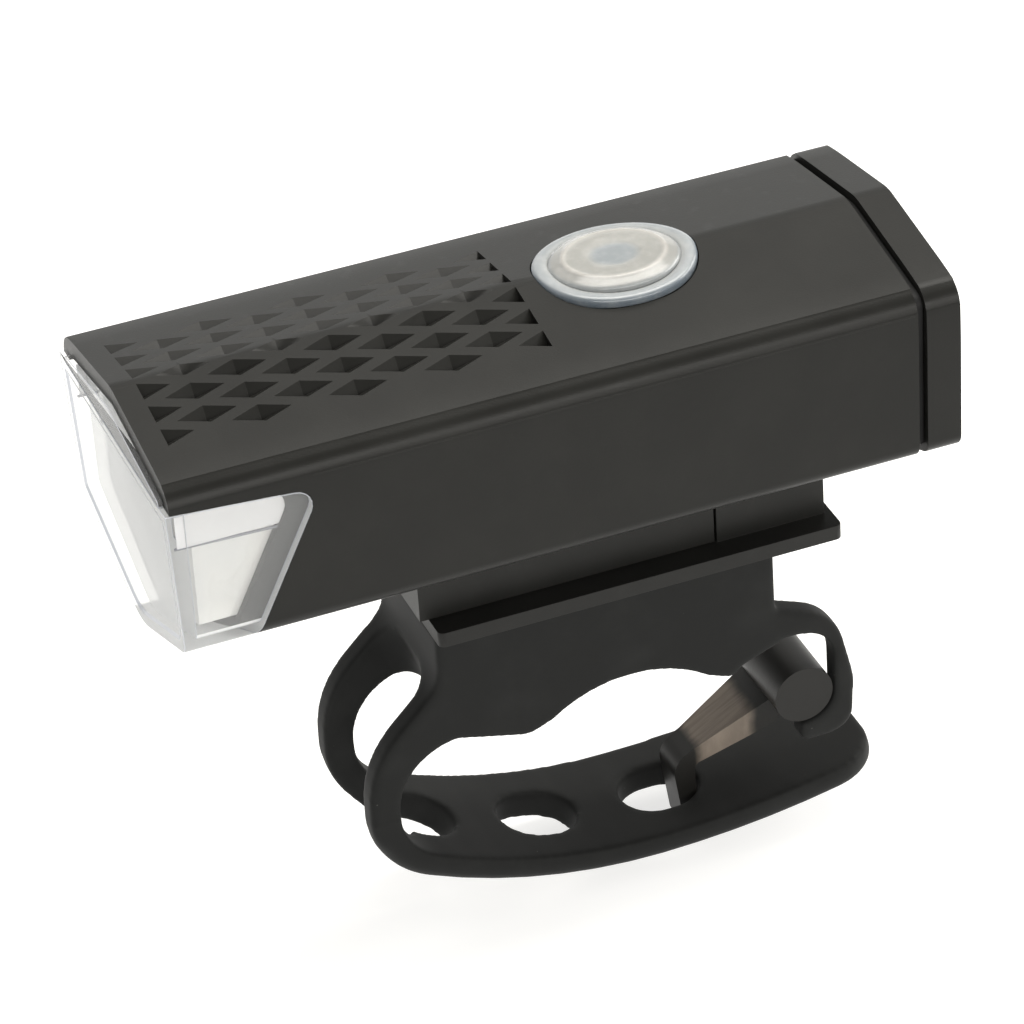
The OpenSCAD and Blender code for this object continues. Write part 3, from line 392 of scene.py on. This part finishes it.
def drawn_plastic(name, shank, ends):
    """Semi-gloss moulding, painted pale along its shank as a highlight where the light falls, with flow
    streaks down its length.
    """
    # Span along y of the painted highlight on the shank: where it fades in and where it fades out
    lit_band_from = (9.8 * MM, 11.0 * MM)
    lit_band_to = (16.0 * MM, 17.6 * MM)
    f = Finish(name)
    _, y, _ = f.axes()
    streaks = f.noise(0.45 * MM, 4.0, 0.6, (1, 14, 14))
    cloud = f.noise(3 * MM)
    ragged = y + (cloud - 0.5) * 1.2 * MM
    # Painted highlight: the pale shank colour inside this band and the dark end colour outside it; the
    # band's edge at the knee is painted shade
    painted_light_band = ragged.between(*lit_band_from) * (1 - ragged.between(*lit_band_to))
    pale = f.mix(streaks.between(0.35, 0.7) * 0.7, shank, tuple(c * 0.6 for c in shank))
    f.set(
        Base_Color=f.mix(painted_light_band, ends, pale),
        Roughness=0.32 + cloud * 0.12 + streaks * 0.08,
        Specular_IOR_Level=0.24,
        Normal=f.bump(streaks, 0.02 * MM, 0.3, f.bump(f.noise(0.25 * MM), 0.01 * MM, 0.3)),
    )
    return f.material


def clear_plastic(name, colour, haze, passing):
    """Clear polished moulding: see-through face on, glossy at a glance, milky by its haze."""
    f = Finish(name)
    ripple = f.noise(5 * MM, 2.0)
    f.set(
        Base_Color=(*colour, 1.0),
        Roughness=0.05 + ripple * 0.04,
        Normal=f.bump(ripple, 0.05 * MM, 0.1),
    )
    sight = f.add("ShaderNodeFresnel", {}, {"IOR": 1.5})
    clear = f.add("ShaderNodeBsdfTransparent", {}, {"Color": (*passing, 1.0)})
    gloss = Value(f, f.shader.outputs[0])
    veil = haze + ripple * 0.3 * haze
    mixed = f.add("ShaderNodeMixShader", {}, {0: (sight * 0.85 + veil).least(1.0), 1: clear, 2: gloss})
    f.feed(f.surface, mixed)
    return f.material


def white_moulding(name):
    """Smooth white moulding with a faint cool tint, flow marks and a faint painted glow."""
    f = Finish(name)
    flow = f.noise(4 * MM, 3.0, 0.5, (1, 2, 3))
    f.set(
        Base_Color=f.mix(flow.between(0.3, 0.8), (0.74, 0.735, 0.715), (0.66, 0.67, 0.68)),
        Roughness=0.2 + flow * 0.15,
        Coat_Weight=0.25,
        # Painted light: a faint glow that brightens the reflector seen through the lens
        Emission_Color=(1.0, 0.99, 0.96, 1.0),
        Emission_Strength=0.04,
        Normal=f.bump(flow, 0.06 * MM, 0.2),
    )
    return f.material


def milky_plastic(name, centre, spans, bands):
    """Milky translucent moulding whose tint changes from the middle outwards.

    bands lists (share of the span where a tint starts, share where it is full, tint)."""
    f = Finish(name)
    x, y, _ = f.axes(centre)
    reach = ((x / spans[0]) ** 2.0 + (y / spans[1]) ** 2.0) ** 0.5
    cloud = f.noise(1.6 * MM, 3.0)
    reach = reach + (cloud - 0.5) * 0.015
    tint = bands[0][2]
    for low, high, colour in bands[1:]:
        tint = f.mix(reach.between(low, high), tint, colour)
    f.set(
        Base_Color=f.mix(cloud.between(0.35, 0.8) * 0.06, tint, (0.95, 0.93, 0.88)),
        Roughness=0.2 + cloud * 0.06,
        Subsurface_Weight=0.35,
        Subsurface_Radius=(0.8, 0.9, 1.0),
        Subsurface_Scale=0.8 * MM,
        Coat_Weight=0.15,
        Normal=f.bump(cloud, 0.03 * MM, 0.15),
    )
    return f.material


def worked_metal(name, colour, rough, stretch=(1, 1, 12)):
    """Plain metal with drawn or rolled lines."""
    f = Finish(name)
    lines = f.noise(0.2 * MM, 4.0, 0.6, stretch)
    cloud = f.noise(4 * MM)
    f.set(
        Base_Color=f.mix(cloud, colour, tuple(c * 0.82 for c in colour)),
        Metallic=1.0,
        Roughness=rough + lines * 0.14 + cloud * 0.05,
        Normal=f.bump(lines, 0.01 * MM, 0.3),
    )
    return f.material


def sleeve(name, colour, rough=0.3):
    """Shrink film, wire jacket or small lamp: even colour with slight wrinkles."""
    f = Finish(name)
    cloud = f.noise(3 * MM)
    fine = f.noise(0.6 * MM, 3.0, 0.5, (1, 6, 1))
    f.set(
        Base_Color=f.mix(cloud.between(0.3, 0.8), colour, tuple(c * 0.7 for c in colour)),
        Roughness=rough + fine * 0.12,
        Normal=f.bump(fine, 0.02 * MM, 0.2),
    )
    return f.material


def board_mask(name, colour):
    """Solder mask with copper traces showing as paler lines under it."""
    f = Finish(name)
    weave = f.add(
        "ShaderNodeTexBrick", {"offset": 0.37, "squash": 1.6},
        {"Vector": f.place, "Scale": 220.0, "Mortar Size": 0.04, "Mortar Smooth": 0.2}, 1,
    )
    pale = tuple(min(1.0, c * 1.9 + 0.01) for c in colour)
    f.set(
        Base_Color=f.mix(weave, colour, pale),
        Roughness=0.28 + f.noise(2 * MM) * 0.15,
        Normal=f.bump(weave, 0.03 * MM, 0.3),
    )
    return f.material


def lamp_phosphor(name, centre):
    """Yellow phosphor square under a clear dome on a white package."""
    chip_half = 0.9 * MM
    blur = 0.05 * MM
    f = Finish(name)
    x, _, z = f.axes(centre)
    chip = 1 - abs(x).most(abs(z)).between(chip_half - blur, chip_half + blur)
    f.set(
        Base_Color=f.mix(chip, (0.86, 0.85, 0.78), (0.93, 0.72, 0.16)),
        Roughness=0.12 + f.noise(0.4 * MM) * 0.1,
        Coat_Weight=0.6,
    )
    return f.material


# Half sizes of the oval rim and of the dome in it, and the middles of the button and the lamp
RIM_LOW, RIM_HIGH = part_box("button_rim")
RIM_SPAN = ((RIM_HIGH.x - RIM_LOW.x) / 2, (RIM_HIGH.y - RIM_LOW.y) / 2)
DOME_INSET = 2.1 * MM
DOME_SPAN = (RIM_SPAN[0] - DOME_INSET, RIM_SPAN[1] - DOME_INSET)
BUTTON_CENTRE = (0.0, (RIM_LOW.y + RIM_HIGH.y) / 2, CORNER_Z + RIDGE_H)
LAMP_LOW, LAMP_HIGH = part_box("led_emitter")
LAMP_CENTRE = (LAMP_LOW + LAMP_HIGH) / 2

SHELL = satin_moulding("satin_black_shell", (0.0088, 0.0087, 0.0076), 0.29)
BRACKET = satin_moulding("satin_black_bracket", (0.0115, 0.0114, 0.0105), 0.36, 0.3 * MM)
SILICONE = silicone("black_silicone", (0.0066, 0.0069, 0.0066))
SEAL = silicone("black_seal", (0.007, 0.007, 0.007), 0.5)
HOOK = drawn_plastic("brown_grey_hook", (0.19, 0.157, 0.127), (0.011, 0.0105, 0.0095))
LENS = clear_plastic("clear_lens", (0.78, 0.79, 0.8), 0.035, (0.975, 0.975, 0.97))
LENS_EDGE = clear_plastic("lit_lens_edge", (0.55, 0.57, 0.62), 0.6, (0.72, 0.74, 0.79))
# Painted light: a milky band that stands in for the brighter look of the lens's thick top flange;
# painted shade: a dark rib for the ledge under it
LENS_BAND = clear_plastic("lens_band_painted_light", (0.95, 0.95, 0.97), 0.55, (0.98, 0.98, 0.98))
LENS_LINE = clear_plastic("shaded_lens_rib", (0.3, 0.31, 0.35), 0.6, (0.8, 0.81, 0.85))
WHITE = white_moulding("white_reflector")
RIM = milky_plastic(
    "smoky_rim", BUTTON_CENTRE, RIM_SPAN,
    [(0, 0, (0.29, 0.3, 0.3)), (0.8, 0.93, (0.25, 0.268, 0.28)), (0.95, 1.0, (0.11, 0.132, 0.155))],
)
# Painted highlight: the pale band from about 0.72 to 0.87 of the span lies on the dome's raised ring
DOME = milky_plastic(
    "milky_dome", BUTTON_CENTRE, DOME_SPAN,
    [(0, 0, (0.22, 0.24, 0.252)), (0.28, 0.46, (0.27, 0.27, 0.255)), (0.72, 0.79, (0.34, 0.33, 0.31)),
     (0.82, 0.87, (0.265, 0.265, 0.253)), (0.95, 1.04, (0.24, 0.253, 0.258))],
)
STEEL = worked_metal("zinc_steel", (0.62, 0.62, 0.64), 0.28, (1, 1, 1))
BLACK_STEEL = worked_metal("black_oxide", (0.07, 0.07, 0.075), 0.36, (1, 1, 1))
ALUMINIUM = worked_metal("stamped_aluminium", (0.74, 0.75, 0.77), 0.3)
NICKEL = worked_metal("nickel_strip", (0.74, 0.72, 0.66), 0.22, (8, 1, 1))
PORT_METAL = worked_metal("folded_port_shell", (0.7, 0.71, 0.72), 0.25, (8, 1, 1))
CRADLE = satin_moulding("dark_cradle", (0.05, 0.052, 0.055), 0.45)
CHIPS = satin_moulding("epoxy_packages", (0.018, 0.018, 0.02), 0.5, 0.15 * MM)
CELLS = sleeve("cell_sleeve", (0.06, 0.17, 0.42))
RED_WIRE = sleeve("red_wire", (0.5, 0.03, 0.025), 0.4)
BLACK_WIRE = sleeve("black_wire", (0.015, 0.015, 0.015), 0.4)
BOARD = board_mask("green_board", (0.01, 0.1, 0.04))
WHITE_BOARD = board_mask("white_board", (0.78, 0.79, 0.78))
PHOSPHOR = lamp_phosphor("lamp_phosphor", LAMP_CENTRE)
INDICATOR = sleeve("indicator_lamp", (0.7, 0.8, 0.9), 0.15)


# Moulded shells of the light and the bracket

def hard_shells():
    """Moulded pieces that keep the shape of their node, with its edges eased."""
    # Node, piece, width of the eased edges, finish, body and slot
    rows = (
        ("rear_cap", "end_cap", 0.3 * MM, SHELL, "light", "shell_black"),
        ("shoe", "slide_shoe", 0.22 * MM, BRACKET, "light", "bracket_black"),
        ("bracket_base", "bracket_plate", 0.3 * MM, BRACKET, "bracket", "bracket_black"),
        ("reflector", "white_funnel", 0.2 * MM, WHITE, "light", "white_reflector"),
        ("hook", "strap_hook", 0.45 * MM, HOOK, "bracket", "hook_plastic"),
        ("cap_seal", "groove_seal", 0.2 * MM, SEAL, "light", "silicone_black"),
    )
    for node, name, edge, finish, body, slot in rows:
        piece = eased_copy(node, name, edge)
        if node == "rear_cap":
            roll_shoulders(piece)
            even_shade(piece)
        settle(piece, body, slot, finish, node)


def roll_shoulders(piece):
    """Rolls the roof's margins and the tops of the sides softly into the shoulders."""
    # Where the roll starts, out from the middle and up from the corner line, in millimetres
    start = 12.5
    roof_cuts = (13.0, 14.0, 15.0, 15.8, 16.4)
    side_cuts = (13.0, 14.2, 15.4, 16.6, 17.6)
    # How far past the start the roof and the sides lie, how wide their roll is and how deep
    roof_from = 6.0
    roof_band = 5.9
    roof_sink = 0.34 * MM
    side_from = 4.4
    side_band = 7.9
    side_draw = 0.3 * MM
    start_edit(piece)
    for side in (-1, 1):
        for x in roof_cuts:
            bpy.ops.mesh.select_all(action="SELECT")
            bpy.ops.mesh.bisect(plane_co=(side * x * MM, 0, 0), plane_no=(1, 0, 0))
    for z in side_cuts:
        bpy.ops.mesh.select_all(action="SELECT")
        bpy.ops.mesh.bisect(plane_co=on_light(0, 0, z), plane_no=(0, 0, 1))
    end_edit()
    for vertex in piece.data.vertices:
        over = abs(vertex.co.x) / MM - start
        high = (vertex.co.z - CORNER_Z) / MM - start
        if over > 0 and high > roof_from:
            vertex.co.z -= roof_sink * min(1.0, over / roof_band) ** 2
        if over > side_from and high > 0:
            vertex.co.x -= math.copysign(side_draw * min(1.0, high / side_band) ** 2, vertex.co.x)


def light_body():
    """Housing with the fine parting seams that run along both sides under the shoulders."""
    crisp = 24
    # Place of the seams on the light, then the width, height and eased edge of their bars
    seam_x = 18.21
    seam_front = 15.9
    seam_rear = 85.6
    seam_z = 18.2
    seam_section = (0.16 * MM, 0.2 * MM, 0.05 * MM)
    piece = copy_of("housing", "light_body", SHELL, whole=False)
    ease_edges(piece, 0.16 * MM, crisp)
    roll_shoulders(piece)
    seams = [
        bar("seam", on_light(x, seam_front, seam_z), on_light(x, seam_rear, seam_z), *seam_section)
        for x in (-seam_x, seam_x)
    ]
    for seam in seams:
        seam.data.materials.append(SHELL)
    join(piece, *seams)
    even_shade(piece, crisp)
    settle(piece, "light", "shell_black", SHELL, "housing")


# Clear lens

def sunk_frame(piece):
    """Sinks a lit line into the lens's front face, a little way in from its edge."""
    inset = 1.3 * MM
    width = 0.35 * MM
    sink = 0.25 * MM
    front = max(piece.data.polygons, key=lambda face: -face.normal.y * face.area).index
    choose(piece, lambda face: face.index == front)
    bpy.ops.mesh.inset(thickness=inset, depth=0)
    bpy.ops.mesh.inset(thickness=width, depth=-sink, use_select_inset=True)
    piece.active_material_index = 1
    bpy.ops.object.material_slot_assign()
    end_edit()


def wing_lines(side, name):
    """Milky band inside a wing of the lens, painted light for its thick top flange, and the shaded rib
    along the band's lower edge, painted shade.
    """
    band_place = on_light(side * 16.86, 7.0, 14.5)
    band_size = (0.14 * MM, 12.4 * MM, 4.0 * MM)
    rib_front = on_light(side * 16.82, 0.5, 12.5)
    rib_rear = on_light(side * 16.82, 12.6, 12.1)
    band = block(name + "_lens_band", band_place, band_size, 0.05 * MM)
    settle(band, "light", "clear_lens", LENS_BAND, "lens")
    rib = bar(name + "_lens_rib", rib_front, rib_rear, 0.22 * MM, 0.3 * MM, 0.07 * MM)
    settle(rib, "light", "clear_lens", LENS_LINE, "lens")


def locating_post():
    """Short round post inside the upper left of the lens."""
    centre = on_light(-11.5, 2.4, 15.9)
    post = rod("lens_locating_post", centre, 0.42 * MM, 2.9 * MM, 24, 0.3 * MM, 4)
    smooth(post, 40)
    settle(post, "light", "clear_lens", LENS_EDGE, "lens")


def wrap_lens():
    """Lens with lit edges, a sunk frame round its front face and the lines inside its wings."""
    crisp = 28
    piece = copy_of("lens", "wrap_lens", LENS, LENS_EDGE)
    ease_edges(piece, 0.2 * MM, crisp, finish_slot=1)
    sunk_frame(piece)
    even_shade(piece, crisp)
    settle(piece, "light", "clear_lens", LENS, "lens")
    wing_lines(1, "right")
    wing_lines(-1, "left")
    locating_post()


# Silicone strap

def soft_strap():
    """The strap's solid, remeshed evenly and relaxed so that every edge is soft."""
    grid = 0.29 * MM
    passes = 18
    piece = copy_of("strap", "silicone_strap")
    modify(piece, "REMESH", mode="VOXEL", voxel_size=grid)
    modify(piece, "SMOOTH", factor=0.5, iterations=passes)
    take(piece)
    bpy.ops.object.shade_smooth()
    settle(piece, "bracket", "silicone_black", SILICONE, "strap")


# Button and its rim

def oval_stack(name, span, rings):
    """Closed stack of ovals: each ring is (share of the span, height above the corner line)."""
    sides = 88
    clear_selection()
    bpy.ops.mesh.primitive_circle_add(vertices=sides, radius=1, fill_type="NGON", location=(0, 0, 0))
    piece = bpy.context.object
    piece.name = name
    start_edit(piece, "EDGE")
    share, height = rings[0]
    bpy.ops.transform.resize(value=(share * span[0], share * span[1], 1))
    bpy.ops.transform.translate(value=(0, 0, height))
    for next_share, next_height in rings[1:]:
        bpy.ops.mesh.extrude_region_move(TRANSFORM_OT_translate={"value": (0, 0, next_height - height)})
        grow = next_share / share
        bpy.ops.transform.resize(value=(grow, grow, 1), center_override=(0, 0, next_height))
        share, height = next_share, next_height
    bpy.ops.mesh.select_all(action="SELECT")
    bpy.ops.mesh.normals_make_consistent(inside=False)
    end_edit()
    piece.location = (0, BUTTON_CENTRE[1], CORNER_Z)
    apply_place(piece)
    return piece


def roof_drop(x):
    """How far the roof lies below its ridge at x, the ridge being rounded."""
    slope = (RIDGE_H - SHOULDER_H) / HALF_W
    flat = RIDGE_R * math.sin(math.atan(slope))
    x = abs(x)
    if x < flat:
        return RIDGE_R - math.sqrt(RIDGE_R * RIDGE_R - x * x)
    return RIDGE_R - math.sqrt(RIDGE_R * RIDGE_R - flat * flat) + (x - flat) * slope


def press_dome():
    """Dome with a fine raised ring on its shoulder and a soft dish in its middle."""
    crown = [
        (1.04, 22.0), (1.04, 23.26), (1.03, 23.4), (1.0, 23.55), (0.96, 23.69), (0.915, 23.82),
        (0.875, 23.93), (0.85, 24.02), (0.83, 24.11), (0.808, 24.17), (0.784, 24.18), (0.766, 24.14),
        (0.74, 24.11), (0.66, 24.11), (0.55, 24.1), (0.45, 24.07), (0.41, 24.02), (0.37, 23.96),
        (0.25, 23.94), (0.08, 23.93),
    ]
    piece = oval_stack("press_dome", DOME_SPAN, [(s, z * MM) for s, z in crown])
    smooth(piece, 50)
    settle(piece, "press_button", "button_milky", DOME, "button")


def dome_rim():
    """Oval rim that follows the roof's slopes a little proud of them."""
    section = [
        (0.8, 22.05), (0.995, 22.05), (1.0, 23.15), (0.992, 23.42), (0.97, 23.6), (0.94, 23.69),
        (0.9, 23.71), (0.86, 23.66), (0.82, 23.54), (0.795, 23.38), (0.785, 23.15), (0.785, 22.1),
    ]
    piece = oval_stack("dome_rim", RIM_SPAN, [(s, z * MM) for s, z in section])
    seat_z = CORNER_Z + 22.2 * MM
    follow = 0.48
    for vertex in piece.data.vertices:
        if vertex.co.z > seat_z:
            vertex.co.z -= follow * roof_drop(vertex.co.x)
    smooth(piece, 50)
    settle(piece, "light", "rim_smoky", RIM, "button_rim")


# Rear of the light

def port_cover():
    """Rubber flap with a rolled upper edge, a sunk field to grip it by and its plug."""
    low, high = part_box("usb_cover")
    width = high.x - low.x
    thick = 1.2 * MM
    face_y = high.y - thick / 2
    roll_z = high.z - thick / 2
    flap_place = (0, face_y, (low.z + roll_z) / 2)
    flap_size = (width, thick, roll_z - low.z)
    plug_place = (0, low.y + 0.4 * MM, low.z + 3.8 * MM)
    plug_size = (7.5 * MM, 0.9 * MM, 2.6 * MM)
    # The field's margin, the slope down to it and how far it is sunk, then a line inside it
    margin = 0.8 * MM
    slope = 0.25 * MM
    sink = 0.18 * MM
    inner_line = 0.5 * MM
    piece = block("port_flap", flap_place, flap_size, 0.45 * MM, segments=4)
    outside = max(piece.data.polygons, key=lambda face: face.normal.y * face.area).index
    choose(piece, lambda face: face.index == outside)
    bpy.ops.mesh.inset(thickness=margin, depth=0)
    bpy.ops.mesh.inset(thickness=slope, depth=-sink)
    bpy.ops.mesh.inset(thickness=inner_line, depth=0)
    end_edit()
    roll = rod("roll", (0, face_y, roll_z), thick / 2, width, 32, 0.2 * MM, 3, math.pi / 2)
    plug = block("plug", plug_place, plug_size, 0.35 * MM, segments=3)
    join(piece, roll, plug)
    even_shade(piece, 35)
    settle(piece, "port_cover", "silicone_black", SEAL, "usb_cover")


def cross_screws(node, name, finish, slot, along, outward):
    """Screws with a cross recess in each head: along is their axis, outward the way the heads face."""
    head_r = 1.9 * MM
    recess_w = 0.5 * MM
    recess_len = 2.1 * MM
    recess_h = 0.9 * MM
    recess_drop = 0.3 * MM
    piece = eased_copy(node, name, 0.16 * MM, 40)
    low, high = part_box(node)
    centre = (low + high) / 2
    centre[along] = (high if outward > 0 else low)[along] - outward * recess_drop
    reach = (high.x - low.x) / 2 - head_r
    for side in (-1, 1):
        for arm in (axis for axis in range(3) if axis != along):
            size = [recess_w] * 3
            size[along] = recess_h
            size[arm] = recess_len
            tool = block("recess", (side * reach, centre.y, centre.z), size)
            cut(piece, tool)
    smooth(piece, 35)
    settle(piece, "light", slot, finish, node)


# Inner pieces

def inner_pieces():
    """The inner pieces keep their solids and get their finishes."""
    finishes = {
        "led_emitter": PHOSPHOR, "led_board": WHITE_BOARD, "led_screws": STEEL, "heat_sink": ALUMINIUM,
        "battery_cells": CELLS, "cell_tabs": NICKEL, "cell_cradle": CRADLE, "circuit_board": BOARD,
        "board_parts": CHIPS, "charge_leds": INDICATOR, "tact_switch": CHIPS, "switch_plunger": CHIPS,
        "usb_socket": PORT_METAL, "led_leads": RED_WIRE, "cell_leads": BLACK_WIRE,
    }
    for node, finish in finishes.items():
        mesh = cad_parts[node].data
        mesh.materials.clear()
        mesh.materials.append(finish)


# Floor, light and camera

def studio():
    """Pale paper floor just under the part, a dim sky and the lamps round it."""
    floor_w = 6
    floor_gap = 0.05 * MM
    clear_selection()
    bpy.ops.mesh.primitive_plane_add(size=floor_w, location=(0, 0, cad_box[0].z - floor_gap))
    floor = bpy.context.object
    floor.name = "floor"
    paper = Finish("pale_paper")
    paper.set(
        Base_Color=paper.mix(paper.noise(80 * MM), (0.44, 0.44, 0.437), (0.46, 0.46, 0.457)),
        Roughness=0.9,
        Specular_IOR_Level=0.1,
        Emission_Color=(1.0, 0.995, 0.98, 1.0),
        Emission_Strength=0.72,
    )
    floor.data.materials.append(paper.material)
    world = bpy.data.worlds.new("studio")
    bpy.context.scene.world = world
    world.use_nodes = True
    sky = world.node_tree.nodes["Background"]
    sky.inputs["Color"].default_value = (1.0, 0.99, 0.97, 1)
    sky.inputs["Strength"].default_value = 0.25
    # Name, place in metres, turn in degrees, width, height, radiance and colour
    lamps = (
        ("overhead_box", (-0.12, 0.3, 0.85), (0, 0, 0), 0.46, 1.1, 7.0, (1.0, 0.98, 0.93)),
        ("slope_fill", (-0.72, 0.1, 0.8), (0, -45, 0), 0.4, 1.4, 1.5, (1.0, 0.98, 0.93)),
        ("rear_box", (-0.1, 1.2, 0.6), (-90, 0, 0), 1.0, 0.5, 7.0, (1.0, 0.98, 0.94)),
        ("side_strip", (0.8, 0.1, 0.38), (0, 90, 0), 0.2, 1.4, 8.0, (1.0, 0.98, 0.94)),
        ("back_wall", (-0.9, 0.1, 0.25), (0, -90, 0), 0.5, 1.4, 0.8, (1.0, 1.0, 0.98)),
        ("front_box", (0.1, -0.9, 0.3), (90, 0, 0), 0.9, 0.5, 0.5, (1.0, 0.99, 0.98)),
    )
    for name, place, turn, wide, tall, radiance, colour in lamps:
        data = bpy.data.lights.new(name, "AREA")
        data.shape = "RECTANGLE"
        data.size = wide
        data.size_y = tall
        data.energy = radiance * math.pi * wide * tall
        data.color = colour
        lamp = bpy.data.objects.new(name, data)
        bpy.context.scene.collection.objects.link(lamp)
        lamp.location = place
        lamp.rotation_euler = [math.radians(angle) for angle in turn]
    bpy.context.scene.view_settings.view_transform = "Standard"


def photo_camera():
    """Camera at the photo's angle: azimuth, elevation and roll found from the body's edges."""
    azimuth, elevation, roll = (math.radians(a) for a in (70.63, 33.56, -4.04))
    stand = Vector((452.99, -168.82, 354.13)) * MM
    back = Vector((
        math.sin(azimuth) * math.cos(elevation),
        -math.cos(azimuth) * math.cos(elevation),
        math.sin(elevation),
    ))
    level = Vector((math.cos(azimuth), math.sin(azimuth), 0))
    rise = back.cross(level)
    right = level * math.cos(roll) + rise * math.sin(roll)
    up = rise * math.cos(roll) - level * math.sin(roll)
    data = bpy.data.cameras.new("photo_camera")
    data.lens = 181.5
    data.sensor_width = 36
    camera = bpy.data.objects.new("photo_camera", data)
    bpy.context.scene.collection.objects.link(camera)
    place = Matrix((right, up, back)).transposed().to_4x4()
    place.translation = stand
    camera.matrix_world = place
    bpy.context.scene.camera = camera


photo_camera()
hard_shells()
light_body()
wrap_lens()
soft_strap()
press_dome()
dome_rim()
port_cover()
cross_screws("cap_screws", "rear_screws", BLACK_STEEL, "screw_black", 1, 1)
cross_screws("shoe_screws", "under_screws", STEEL, "screw_steel", 2, -1)
inner_pieces()
studio()
